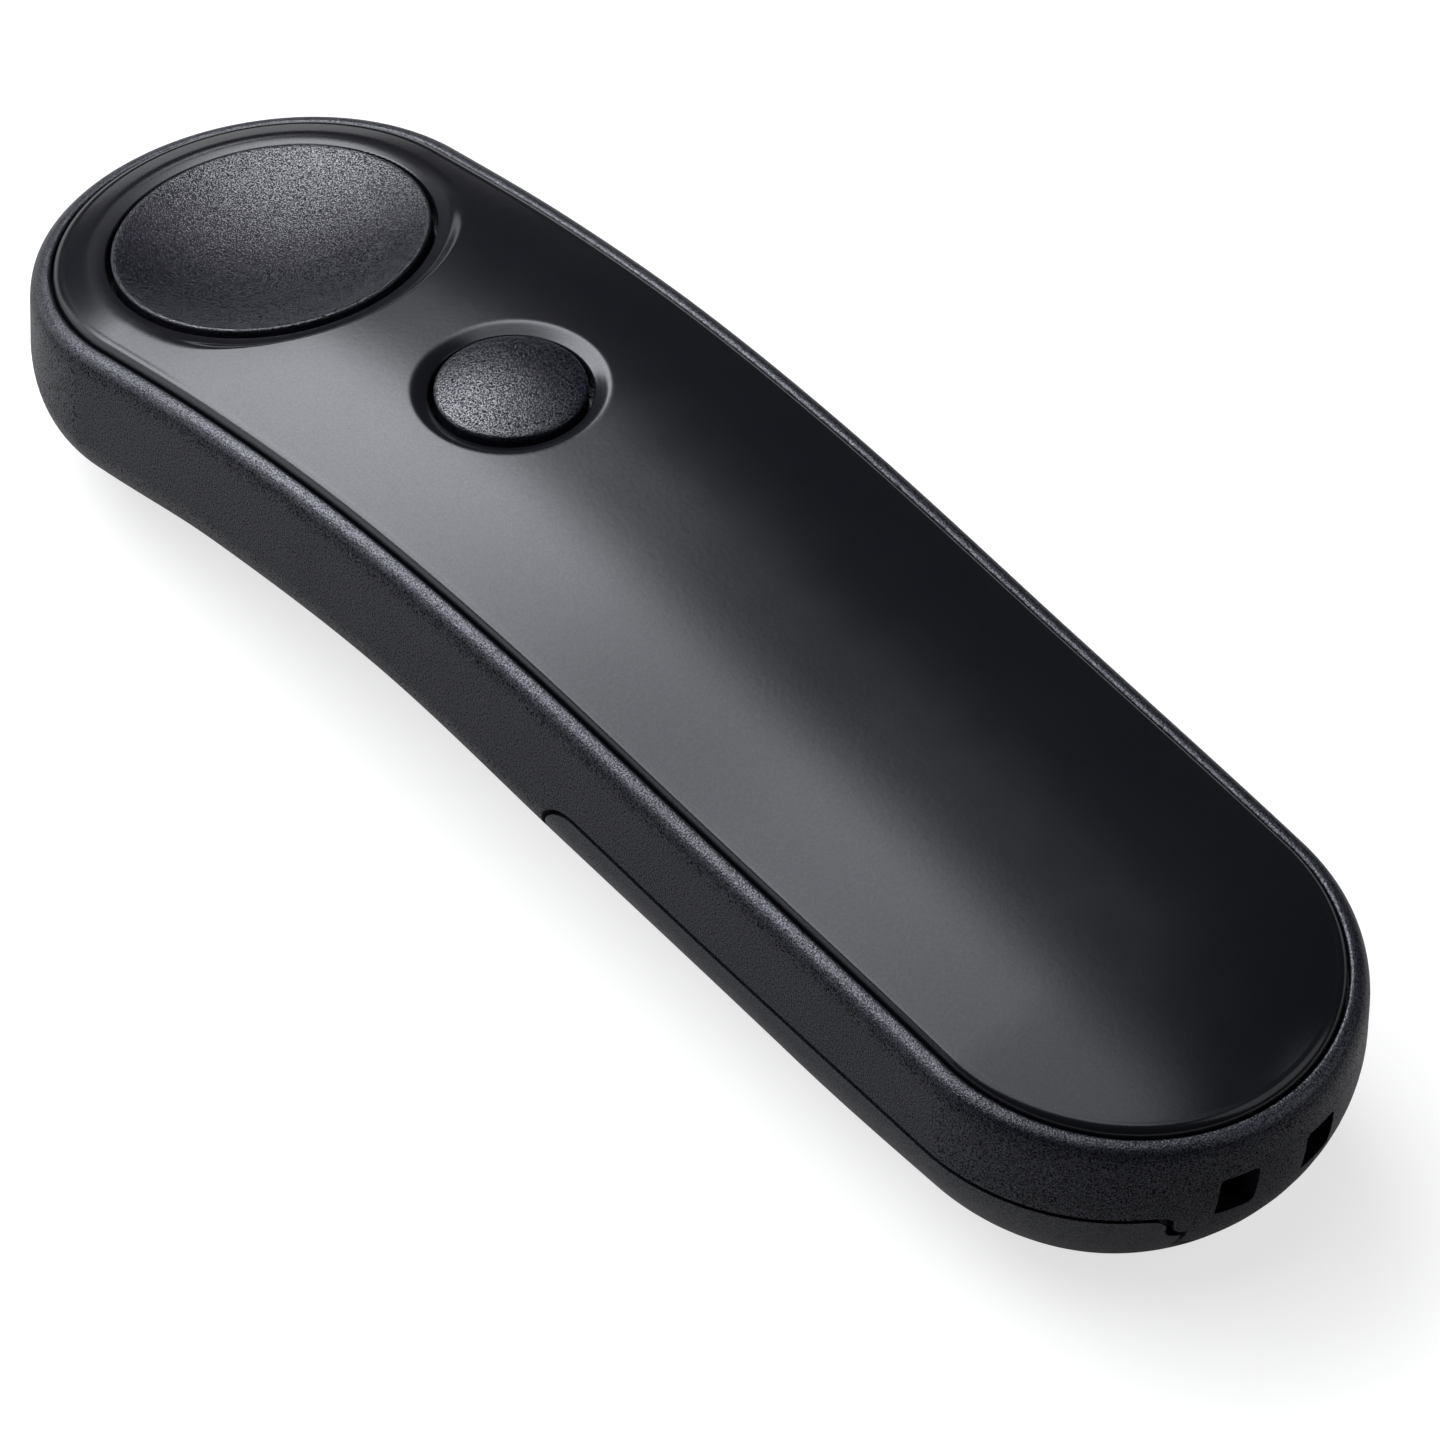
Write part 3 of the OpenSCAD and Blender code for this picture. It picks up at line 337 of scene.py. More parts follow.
# Frames of the buttons, the deck under them and the cell
FORWARD_TILT, BACK_TILT = rim_tilt(FORWARD_X), rim_tilt(BACK_X)
FORWARD_LIFT, BACK_LIFT, DECK_DROP = 1.09, 1.97, 5.4
FORWARD_Z, BACK_Z = float(rim_z(FORWARD_X)) + FORWARD_LIFT, float(rim_z(BACK_X)) + BACK_LIFT
AT_FORWARD = placed(FORWARD_X, FORWARD_Z, FORWARD_TILT)
AT_BACK = placed(BACK_X, BACK_Z, BACK_TILT)
DECK_TILT, DECK_Z = (FORWARD_TILT + BACK_TILT) / 2, FORWARD_Z - DECK_DROP
AT_DECK = placed(FORWARD_X, DECK_Z, DECK_TILT)
CELL_TILT = math.atan(float(under_z(CELL_X - 18) - under_z(CELL_X + 18)) / 36)
CELL_Z = float(under_z(CELL_X)) + SKIN + CELL_CLEAR + CELL_R
AT_CELL = placed(CELL_X, CELL_Z, -CELL_TILT)
ALONG_Y = Matrix.Rotation(math.pi / 2, 4, "X")


def tip_depth(x, z, tilt):
    """How far below its ring plane a button's stem ends in the middle of its round tip."""
    up = -(x - FORWARD_X) * math.sin(DECK_TILT) + (z - DECK_Z) * math.cos(DECK_TILT)
    return (up + PLUNGER_TOP - STEM_R - TOUCH) / math.cos(tilt - DECK_TILT)


# The room that the door takes out of the body
def door_foot(gap):
    """The housing's foot between the door's rear corners, with an S-shaped shoulder up to the seam."""
    y, r = FOOT_HALF_W - gap, 1.2
    top = float(seam_z(HALF_L - 2.4)) + gap
    side = ([(y, -2.0)] + arc(y, top - r, r, -90, 0, 8) + arc(y + 2 * r, top - r, r, 180, 90, 8)[1:]
            + [(y + 2 * r, top + 1)])
    ring = side + [(-px, pz) for px, pz in reversed(side)]
    return prism("foot", ring, across_x(DOOR_REAR + gap), 30)


def door_space(gap):
    """What lies below the seam and behind the door's front edge, but for the foot, grown by a gap."""
    front, r = DOOR_FRONT - gap, 3 + gap
    top = float(seam_z(front + r)) + gap
    xs = np.linspace(front + r, HALF_L + 1, 90)[1:]
    side = ([(front, -1.0)] + arc(front + r, top - r, r, 180, 90, 18)
            + [(float(x), float(z)) for x, z in zip(xs, seam_z(xs) + gap)] + [(HALF_L + 1, -1.0)])
    space = prism("door space", side, Matrix.Translation((0, 17, 0)) @ ALONG_Y, 34)
    return cut(space, door_foot(gap))


def rim_rounding():
    """Insets and heights from the rim's top to the wall: a tight edge that runs out gently down the wall.

    The radius is tight until the surface is reach from upright, and then grows by up to slack.
    """
    tight, slack, reach = 0.98, 7.0, math.radians(25)
    fine = np.radians(np.linspace(90, 0, 721))
    bend = tight + slack * np.maximum(0, 1 - fine / reach) ** 2
    step = fine[0] - fine[1]
    middle = (fine[1:] + fine[:-1]) / 2
    bend = (bend[1:] + bend[:-1]) / 2
    inward = np.concatenate([[0], np.cumsum(bend * np.sin(middle) * step)])
    down = np.concatenate([[0], np.cumsum(bend * np.cos(middle) * step)])
    picked = list(range(0, 520, 64)) + list(range(520, 720, 25)) + [720]
    return [(float(inward[-1] - inward[i]), float(-down[i])) for i in picked]


def make_housing():
    # How far round the lower edge the wall reaches: down to the seam, and under the door's rear end at the foot
    seam_angle, foot_angle, foot_spread = 24.0, 76.0, 36
    at_foot = (FINE[:, 0] > 0) & (FINE[:, 1] > math.cos(math.radians(foot_spread)))
    low = np.where(at_foot, foot_angle, seam_angle)
    rings = [rim_ring(RIM_W, LEDGE_TOP), rim_ring(RIM_W, -RIM_INNER_R)]
    rings += [rim_ring(RIM_W - RIM_INNER_R * (1 - math.cos(a)), RIM_INNER_R * (math.sin(a) - 1))
              for a in np.radians([22.5, 45, 67.5, 90])]
    rings += [rim_ring(d, dz) for d, dz in rim_rounding()]
    rings += [rim_ring(0, -3.0)]
    rings += [skin_ring(low * s, 0) for s in np.linspace(0, 1, 15)]
    rings += [skin_ring(low * s, WALL) for s in np.linspace(1, 0, 6)]
    rings += [rim_ring(WALL, LEDGE_LOW), rim_ring(LEDGE_END, LEDGE_LOW), rim_ring(LEDGE_END, LEDGE_TOP)]
    obj = tube("housing_shell", rings)
    cut(obj, door_space(SEAM_OUT))
    for side in (-SLOT_PITCH / 2, SLOT_PITCH / 2):
        hole = []
        for cy, cz, a in ((1.0, 1.4, 0), (-1.0, 1.4, 90), (-1.0, -1.4, 180), (1.0, -1.4, 270)):
            hole += [(side + py, SLOT_Z + pz) for py, pz in arc(cy, cz, 0.4, a, a + 90, 6)]
        cut(obj, prism("slot", hole, across_x(HALF_L - 6), 12))
    return smooth(obj)


# The top plate
def edge_distance(x, y):
    """Distance inwards from the plate's outline."""
    return PLATE_HALF_W - np.hypot(np.maximum(0, np.abs(x) - SPINE), y)


def plate_rise(e):
    """Height of the plate's crown over the rim's line."""
    return PLATE_PROUD + PLATE_CROWN * (1 - (1 - np.clip(e / PLATE_HALF_W, 0, 1)) ** 3)


# A recess round a button: x, z and tilt of its ring plane, radius of the hole, depth at the hole and slope
# outwards, the radii between which it runs out into the crown, and where the collar under it ends
Recess = namedtuple("Recess", "x z tilt hole_r depth slope run_from run_to collar_z")
RECESSES = [
    Recess(FORWARD_X, FORWARD_Z, FORWARD_TILT, FORWARD_R + BUTTON_GAP, -0.16, 0.115, 11.9, 13.0, -2.7),
    Recess(BACK_X, BACK_Z, BACK_TILT, BACK_R + BUTTON_GAP, -0.5, 0.46, 6.0, 7.0, -2.9)]
HOLE_EDGE_R = 0.14
LIP_BLEND = 0.25
FLANGE_W, FLANGE_RUN = 1.58, 0.4

# The plate's mesh: rows at insets from the outline, and circles round the holes that keep out of the edge zone.
# Points in one square of SAME_POINT are made one
TOP_INSETS = [0.02, 0.06, 0.12, 0.2, 0.3, 0.4, 0.5, 0.6, 0.7, 0.8, 0.95, 1.1, 1.25, 1.5, 1.9, 2.4, 3, 3.7,
              4.5, 5.4, 6.4, 7.5, 8.7, 10, 11.4, 12.8]
LOW_INSETS = [1.58, 1.98, 3, 4.6, 7, 10.4]
HOLE_STEPS = (0.02, 0.05, 0.09, 0.14, 0.2, 0.35)
LIP_STEPS = 0.05
EDGE_ZONE = 1.3
HOLE_TURNS = 144
SAME_POINT = 0.02


def ring_profile(r, recess):
    """Height of a recess over its ring plane at radius r."""
    t = np.clip((recess.hole_r + HOLE_EDGE_R - r) / HOLE_EDGE_R, 0, 1)
    return recess.depth + recess.slope * (r - recess.hole_r) - HOLE_EDGE_R * (1 - np.sqrt(1 - t * t))


def recess_height(x, y, recess):
    """Height over the floor of a recess surface, and the radius from the button's axis there."""
    c, s = math.cos(recess.tilt), math.sin(recess.tilt)
    z = recess.z + (x - recess.x) * s / c
    for _ in range(12):
        r = np.hypot((x - recess.x) * c + (z - recess.z) * s, y)
        z = recess.z + ((x - recess.x) * s + ring_profile(r, recess)) / c
    return z, r


def plate_top(x, y):
    """Height of the plate's top: the crown with its round edge, and the recesses blended into it."""
    e = edge_distance(x, y)
    t = np.clip(1 - e / PLATE_EDGE_R, 0, 1)
    z = rim_z(x) + plate_rise(np.maximum(e, PLATE_EDGE_R)) - PLATE_EDGE_R * (1 - np.sqrt(1 - t * t))
    for recess in RECESSES:
        dish, r = recess_height(x, y, recess)
        h = np.clip(0.5 + 0.5 * (dish - z) / LIP_BLEND, 0, 1)
        dish = dish + (z - dish) * h - LIP_BLEND * h * (1 - h)
        out = np.clip((r - recess.run_from) / (recess.run_to - recess.run_from), 0, 1)
        z = dish + (z - dish) * out * out * (3 - 2 * out)
    return z


def plate_under(x, y):
    """Height of the plate's inside, down to the flange that rests on the housing's ledge."""
    e = edge_distance(x, y)
    flange = LEDGE_TOP + SEAT
    t = np.clip((e - FLANGE_W) / FLANGE_RUN, 0, 1)
    return rim_z(x) + flange + (plate_rise(e) - PLATE_T - flange) * t


def circle_at(recess, r, w=None):
    """Points of a circle round a button's axis, on its recess or at height w over its ring plane."""
    a = 2 * np.pi * np.arange(HOLE_TURNS) / HOLE_TURNS
    w = ring_profile(r, recess) if w is None else w
    local = np.stack([r * np.cos(a), r * np.sin(a), w * np.ones(HOLE_TURNS)], 1)
    return moved(local, placed(recess.x, recess.z, recess.tilt))


def filled(insets, circles):
    """Triangles between the plate's outline and the two holes, through rings of points.

    circles holds the radii round each hole, the hole's own first. Gives the points, the triangles, the place
    of each point in the input or -1, and how many of the input's points lie on the outline and the holes.
    """
    rings = outline(72, 72)
    points = [np.stack(inset(rings, PLATE_INSET), 1)]
    edges = [(i, (i + 1) % len(rings)) for i in range(len(rings))]
    count = len(rings)
    for recess, radii in zip(RECESSES, circles):
        points.append(circle_at(recess, radii[0])[:, :2])
        edges += [(count + i, count + (i + 1) % HOLE_TURNS) for i in range(HOLE_TURNS)]
        count += HOLE_TURNS
    loose = [np.stack(inset(rings, PLATE_INSET + e), 1) for e in insets]
    loose.append(np.stack([np.linspace(-SPINE, SPINE, 72), np.zeros(72)], 1))
    loose = np.concatenate(loose)
    for recess, radii in zip(RECESSES, circles):
        _, r = recess_height(loose[:, 0], loose[:, 1], recess)
        loose = loose[(r > radii[-1] + 0.25) | (edge_distance(loose[:, 0], loose[:, 1]) < EDGE_ZONE)]
    rows = [loose]
    for recess, radii in zip(RECESSES, circles):
        for r in radii[1:]:
            ring = circle_at(recess, r)[:, :2]
            rows.append(ring[edge_distance(ring[:, 0], ring[:, 1]) > EDGE_ZONE + SAME_POINT])
    cells, kept = set(), []
    for p in np.concatenate(rows):
        cell = (round(p[0] / SAME_POINT), round(p[1] / SAME_POINT))
        if cell not in cells:
            cells.add(cell)
            kept.append(p)
    flat = np.concatenate(points + [np.array(kept)])
    out = delaunay_2d_cdt([Vector(p) for p in flat], edges, [], 0, 1e-6, True)
    found = np.array([tuple(v) for v in out[0]])
    tris = np.array([f for f in out[2] if len(f) == 3])
    mid = found[tris].mean(1)
    keep = edge_distance(mid[:, 0], mid[:, 1]) > 0
    for recess, radii in zip(RECESSES, circles):
        _, r = recess_height(mid[:, 0], mid[:, 1], recess)
        keep &= r > radii[0] * math.cos(math.pi / HOLE_TURNS) - 0.001
    return found, tris[keep], [o[0] if o else -1 for o in out[3]], count


def make_plate():
    circles = [[r.hole_r] + [r.hole_r + s for s in HOLE_STEPS]
               + list(np.arange(r.run_from - 0.1, r.run_to + 0.15, LIP_STEPS))
               + [r.run_to + 0.4, r.run_to + 0.8] for r in RECESSES]
    top_xy, top_tris, sources, fixed = filled(TOP_INSETS, circles)
    top_z = plate_top(top_xy[:, 0], top_xy[:, 1])
    low_circles = [[r.hole_r + COLLAR_W, r.hole_r + COLLAR_W + 0.5] for r in RECESSES]
    low_xy, low_tris, low_sources, _ = filled(LOW_INSETS, low_circles)
    low_z = plate_under(low_xy[:, 0], low_xy[:, 1])
    points = [np.column_stack([top_xy, top_z]), np.column_stack([low_xy, low_z])]
    base = len(top_xy)
    faces = [tuple(t) for t in top_tris] + [tuple(t + base) for t in low_tris[:, ::-1]]
    n_edge = fixed - 2 * HOLE_TURNS
    top_of = {s: i for i, s in enumerate(sources) if 0 <= s < fixed}
    low_of = {s: i + base for i, s in enumerate(low_sources) if 0 <= s < fixed}
    for i in range(n_edge):
        k = (i + 1) % n_edge
        faces.append((top_of[i], low_of[i], low_of[k], top_of[k]))
    count = base + len(low_xy)
    turn = range(HOLE_TURNS)
    for hole, recess in enumerate(RECESSES):
        first = n_edge + hole * HOLE_TURNS
        points += [circle_at(recess, recess.hole_r, recess.collar_z),
                   circle_at(recess, recess.hole_r + COLLAR_W, recess.collar_z)]
        rows = [[top_of[first + i] for i in turn], [count + i for i in turn],
                [count + HOLE_TURNS + i for i in turn], [low_of[first + i] for i in turn]]
        count += 2 * HOLE_TURNS
        for a, b in zip(rows, rows[1:]):
            faces += [(a[i - 1], b[i - 1], b[i], a[i]) for i in range(1, HOLE_TURNS)]
            faces.append((a[-1], b[-1], b[0], a[0]))
    return smooth(mesh_object("top_plate_shell", np.concatenate(points), faces))


def plate_posts():
    """The posts under the plate that take its screws.

    Each row is a pair's x and y, its frame with that frame's origin and tilt, the height at which the posts
    start and the height to which the screws' holes reach.
    """
    posts = []
    for x, y, frame_at, origin, tilt, base, bore in (
            (-26.0, 9.0, AT_DECK, (FORWARD_X, DECK_Z), DECK_TILT, 0.0, 3.6),
            (CELL_X - 10, 10.2, AT_CELL, (CELL_X, CELL_Z), -CELL_TILT, 6.8, 1.2),
            (CELL_X + 16, 10.0, AT_CELL, (CELL_X, CELL_Z), -CELL_TILT, 6.8, 1.2)):
        along = x - origin[0] if frame_at is AT_CELL else (x - origin[0]) / math.cos(tilt)
        base_z = origin[1] + (x - origin[0]) * math.tan(tilt) + base / math.cos(tilt)
        top = float(rim_z(x)) + float(plate_rise(edge_distance(x, y))) - PLATE_T / 2
        length = (top - base_z) / (math.cos(tilt) + math.tan(rim_tilt(x)) * math.sin(tilt))
        for side in (-1, 1):
            at = frame_at @ Matrix.Translation((along, side * y, base))
            posts.append(smooth(lathe("post", [
                (0, bore), (SCREW_R + TOUCH, bore), (SCREW_R + TOUCH, TOUCH), (POST_R - 0.12, TOUCH),
                (POST_R, 0.14), (POST_R, length), (0, length)], at, 48)))
    return posts


def set_top_normals(obj):
    """Gives the plate's top the exact normals of its surface."""
    mesh = obj.data
    co = np.empty(len(mesh.vertices) * 3)
    mesh.vertices.foreach_get("co", co)
    co = co.reshape(-1, 3) / MM
    x, y = co[:, 0], co[:, 1]
    inside = edge_distance(x, y) > 0.03
    for recess in RECESSES:
        _, r = recess_height(x, y, recess)
        inside &= r > recess.hole_r + 0.012
    on_top = (np.abs(co[:, 2] - plate_top(x, y)) < 1e-3) & inside
    h = 0.004
    nx = -(plate_top(x + h, y) - plate_top(x - h, y)) / (2 * h)
    ny = -(plate_top(x, y + h) - plate_top(x, y - h)) / (2 * h)
    normal = np.stack([nx, ny, np.ones(len(x))], 1)
    normal /= np.linalg.norm(normal, axis=1)[:, None]
    normal[~on_top] = 0
    loops = np.empty(len(mesh.loops), int)
    mesh.loops.foreach_get("vertex_index", loops)
    loop_normals = normal[loops]
    for poly in mesh.polygons:
        if poly.normal.z < 0.25:
            for i in poly.loop_indices:
                loop_normals[i] = 0
    mesh.normals_split_custom_set([tuple(v) for v in loop_normals])


def make_cover():
    top_angle, lip_angle = 25.5, 15
    lip_out = WALL + 0.12
    lip_in = lip_out + 0.9
    rings = [skin_ring(a, SKIN) for a in (90, 79, 68, 58, 48)]
    rings += [skin_ring(top_angle, lip_in), skin_ring(lip_angle, lip_in)]
    rings += [skin_ring(lip_angle, lip_out), skin_ring(top_angle, lip_out)]
    rings += [skin_ring(a, 0) for a in np.linspace(top_angle, 90, 22)]
    obj = shell("cover_shell", rings)
    cut(obj, block("rear", (DOOR_FRONT - DOOR_GAP, -20, -2), (70, 20, 30), bevel=0))
    # The ears that reach into the battery bay and take the cover's screws
    ear_x, ear_t, ear_sink = DOOR_FRONT - 4.1, 1.6, 0.6
    px, py = DOOR_FRONT + 5, 9.9
    low = float(under_z(px)) + SKIN + 1.95
    bore, sink = SCREW_R + SCREW_PLAY, SCREW_HEAD_R + SCREW_PLAY
    for side in (-1, 1):
        y0, y1 = sorted((side * (py - POST_R), side * (py + POST_R)))
        cut(obj, block("ear", (ear_x, y0, low), (px, y1, low + ear_t), bevel=0), "UNION")
        root = (DOOR_FRONT - DOOR_GAP, y1, low + 0.65)
        cut(obj, block("ear root", (ear_x, y0, low - 1.35), root, bevel=0), "UNION")
        at = Matrix.Translation((px, side * py, low))
        cut(obj, lathe("boss", [(0, 0), (POST_R, 0), (POST_R, ear_t), (0, ear_t)], at, 48), "UNION")
        hole = [(0, -1), (sink, -1), (sink, ear_sink), (bore, ear_sink), (bore, 3), (0, 3)]
        cut(obj, lathe("bore", hole, at, 48))
    return smooth(obj)


def make_door():
    rings = [skin_ring(a, SKIN) for a in (90, 79, 68, 57, 46, 34, 23, 11, 0)]
    rings += [rim_ring(SKIN, -4), rim_ring(0, -4)] + [skin_ring(a, 0) for a in np.linspace(0, 90, 31)]
    obj = shell("door_shell", rings)
    cut(obj, door_space(SEAM_IN), "INTERSECT")
    # Room for the housing's foot as the door swings down
    room_end = (60, FOOT_HALF_W, 30)
    cut(obj, block("cut back", (DOOR_REAR - 0.5, -FOOT_HALF_W, FOOT_TOP), room_end, bevel=0))
    smooth(obj)
    # Hooks that reach over the cover's rear edge
    reach, back, hook_t = 2.2, 3, 1
    low = float(under_z(DOOR_FRONT - reach)) + SKIN + SEAT + 0.04
    root = float(under_z(DOOR_FRONT + back)) + SKIN - 0.5
    extra = []
    for side in (-1, 1):
        y0, y1 = sorted((side * 4.2, side * 6.2))
        extra.append(block("hook", (DOOR_FRONT - reach, y0, low), (DOOR_FRONT + back, y1, low + hook_t)))
        extra.append(block("hook root", (DOOR_FRONT + 0.05, y0, root),
                           (DOOR_FRONT + back, y1, root + hook_t + 0.5)))
    # Saddles under the cell
    saddle_t, side_y, foot_z, top_z = 1.2, CELL_R + 0.8, -CELL_R - 1.2, 1.6 - CELL_R
    r = CELL_R + 0.15
    half = math.sqrt(r * r - top_z * top_z)
    a = math.degrees(math.asin(top_z / r))
    cradle = [(-side_y, foot_z), (side_y, foot_z), (side_y, top_z), (half, top_z)]
    cradle += [(-p, q) for p, q in arc(0, 0, r, 180 - a, 360 + a, 32)][1:-1]
    cradle += [(-half, top_z), (-side_y, top_z)]
    for x in (-12, 12):
        extra.append(prism("saddle", cradle, AT_CELL @ across_x(x - saddle_t / 2), saddle_t))
    # The latch stands behind the tray's rear wall
    rear = CELL_L / 2 + CONTACT_T + 2 * TOUCH + TRAY_WALL + SEAT
    extra.append(block("latch", (rear, -3, -CELL_R), (rear + 1, 3, 5 - CELL_R), AT_CELL))
    for item in extra:
        smooth(item)
    return join(obj, extra)


def stem_and_collar(tip, r, hollow, collar):
    """A cap's profile from the stem's round tip to its wall, with the hollow under it and the collar below.

    hollow is how far inside the wall the hollow ends, and its height. collar is the heights of its underside
    and its top.
    """
    (wall, roof), (low, top) = hollow, collar
    return (arc(0, -tip, STEM_R, -90, 0, 10)
            + [(STEM_R, roof), (r - wall, roof), (r - wall, low), (r + 1, low), (r + 1, top), (r, top)])


def make_forward_button():
    """The large dished cap. Its edge is rounded by edge_r, and rim is the flat's width up to the dish."""
    r, rim, edge_r, proud, dish = FORWARD_R, 0.3, 0.18, 0.13, 1.3
    ball = ((r - rim) ** 2 + dish**2) / (2 * dish)
    tip = tip_depth(FORWARD_X, FORWARD_Z, FORWARD_TILT)
    profile = stem_and_collar(tip, r, (1.4, -2.6), (-3.65, -2.75))
    profile += arc(r - edge_r, proud - edge_r, edge_r, 0, 90, 8)
    low = proud - dish + ball
    for q in (r - rim + 0.08, r - rim, r - rim - 0.08, r - rim - 0.2):
        inner = low - math.sqrt(ball**2 - min(q, r - rim) ** 2)
        profile.append((q, min(proud, inner) - (0.006 if abs(q - r + rim) < 0.01 else 0)))
    for q in np.linspace(r - rim - 0.6, 0, 26):
        profile.append((float(q), low - math.sqrt(ball**2 - q**2)))
    profile[0] = (0, profile[0][1])
    return smooth(lathe("forward_button_cap", profile, AT_FORWARD, 192))


def make_back_button():
    """The small domed cap. The edge's rounding runs into the dome where the two are tangent."""
    r, dome, edge, edge_r = BACK_R, 0.7, -0.1, 0.3
    ball = (r * r + dome * dome) / (2 * dome)
    tip = tip_depth(BACK_X, BACK_Z, BACK_TILT)
    profile = stem_and_collar(tip, r, (1.3, -1.5), (-3.75, -2.95))
    centre, radius = edge + dome - ball - 0.02, ball + 0.06
    ex = r - edge_r
    ez = centre + math.sqrt((radius - edge_r)**2 - ex**2)
    meet = math.degrees(math.atan2(ez - centre, ex))
    profile += arc(ex, ez, edge_r, 0, meet, 8)
    start = ex + edge_r * math.cos(math.radians(meet))
    for q in np.linspace(start, 0, 20)[1:]:
        profile.append((float(q), centre + math.sqrt(radius**2 - q**2)))
    profile[0] = (0, profile[0][1])
    return smooth(lathe("back_button_cap", profile, AT_BACK, 144))


# Materials
COAT_ROUGHNESS = 0.12
STREAK = (0.06, 1, 1)


def texture_space(tree):
    return tree.nodes.new("ShaderNodeTexCoord").outputs["Object"]


def noise(tree, source, scale, detail=2.0, rough=0.5):
    node = tree.nodes.new("ShaderNodeTexNoise")
    node.inputs["Scale"].default_value = scale
    node.inputs["Detail"].default_value = detail
    node.inputs["Roughness"].default_value = rough
    tree.links.new(source, node.inputs["Vector"])
    return node.outputs["Fac"]


def spread(tree, value, low, high, from_low=0.3, from_high=0.7):
    """Maps a value between from_low and from_high to low and high, and holds it there beyond."""
    node = tree.nodes.new("ShaderNodeMapRange")
    for name, v in (("From Min", from_low), ("From Max", from_high), ("To Min", low), ("To Max", high)):
        node.inputs[name].default_value = v
    tree.links.new(value, node.inputs["Value"])
    return node.outputs["Result"]


def material(name, color, roughness, grain, metallic=0.0, specular=0.5, vary=0.12, rough_vary=0.05,
             blotch=220, coat=0.0, pits=None, painted_top_sheen=0.0, tint=(1, 1, 1)):
    """A Principled surface whose colour and roughness vary, with a bump from layers of grain.

    grain is a list of (scale per metre, height in metres, detail, kind). blotch is the scale of the variation
    in colour and roughness. pits is a scale per metre, the shares to which the grain's hollows and peaks
    darken and brighten the surface, and how deep and high those lie. painted_top_sheen is how much more the
    faces that look up shine: a painted sheen that makes the rim's top read brighter, not wear.
    """
    mat = bpy.data.materials.new(name)
    mat.use_nodes = True
    tree = mat.node_tree
    shader = tree.nodes["Principled BSDF"]
    shader.inputs["Metallic"].default_value = metallic
    shader.inputs["Specular IOR Level"].default_value = specular
    shader.inputs["Specular Tint"].default_value = (*tint, 1)
    if coat:
        shader.inputs["Coat Weight"].default_value = coat
        shader.inputs["Coat Roughness"].default_value = COAT_ROUGHNESS
    space = texture_space(tree)
    cloud = noise(tree, space, blotch, 3)
    mix = tree.nodes.new("ShaderNodeMix")
    mix.data_type = "RGBA"
    mix.inputs[6].default_value = (*[c * (1 - vary) for c in color], 1)
    mix.inputs[7].default_value = (*[min(1, c * (1 + vary)) for c in color], 1)
    tree.links.new(cloud, mix.inputs[0])
    paint = mix.outputs[2]
    if pits:
        speck = spread(tree, noise(tree, space, pits[0], 1.5, 0.6), *pits[1:])
        paler = tree.nodes.new("ShaderNodeVectorMath")
        paler.operation = "MULTIPLY"
        tree.links.new(paint, paler.inputs[0])
        tree.links.new(speck, paler.inputs[1])
        tree.links.new(paler.outputs[0], shader.inputs["Base Color"])
        # Painted sheen: faces that look up get a higher specular level, so the rim's top reads brighter under
        # the overhead light
        if painted_top_sheen:
            facing = tree.nodes.new("ShaderNodeSeparateXYZ")
            tree.links.new(tree.nodes.new("ShaderNodeTexCoord").outputs["Normal"], facing.inputs[0])
            sheen_boost = tree.nodes.new("ShaderNodeMath")
            sheen_boost.operation = "MULTIPLY_ADD"
            tree.links.new(speck, sheen_boost.inputs[0])
            for i in (1, 2):
                gain = spread(tree, facing.outputs["Z"], 2 - i, 2 - i + painted_top_sheen, 0.3, 0.7)
                tree.links.new(gain, sheen_boost.inputs[i])
            speck = sheen_boost.outputs[0]
        shine = tree.nodes.new("ShaderNodeMath")
        shine.operation = "MULTIPLY"
        shine.inputs[0].default_value = specular
        tree.links.new(speck, shine.inputs[1])
        tree.links.new(shine.outputs[0], shader.inputs["Specular IOR Level"])
    else:
        tree.links.new(paint, shader.inputs["Base Color"])
    rough = spread(tree, cloud, roughness - rough_vary, roughness + rough_vary)
    tree.links.new(rough, shader.inputs["Roughness"])
    last = None
    for scale, height, detail, kind in grain:
        source = space
        if kind == "streak":
            stretch = tree.nodes.new("ShaderNodeMapping")
            stretch.inputs["Scale"].default_value = STREAK
            tree.links.new(space, stretch.inputs["Vector"])
            source = stretch.outputs["Vector"]
        value = noise(tree, source, scale, detail)
        bump = tree.nodes.new("ShaderNodeBump")
        bump.inputs["Distance"].default_value = height
        bump.inputs["Strength"].default_value = 1.0
        tree.links.new(value, bump.inputs["Height"])
        if last:
            tree.links.new(last, bump.inputs["Normal"])
        last = bump.outputs["Normal"]
    tree.links.new(last, shader.inputs["Normal"])
    return mat


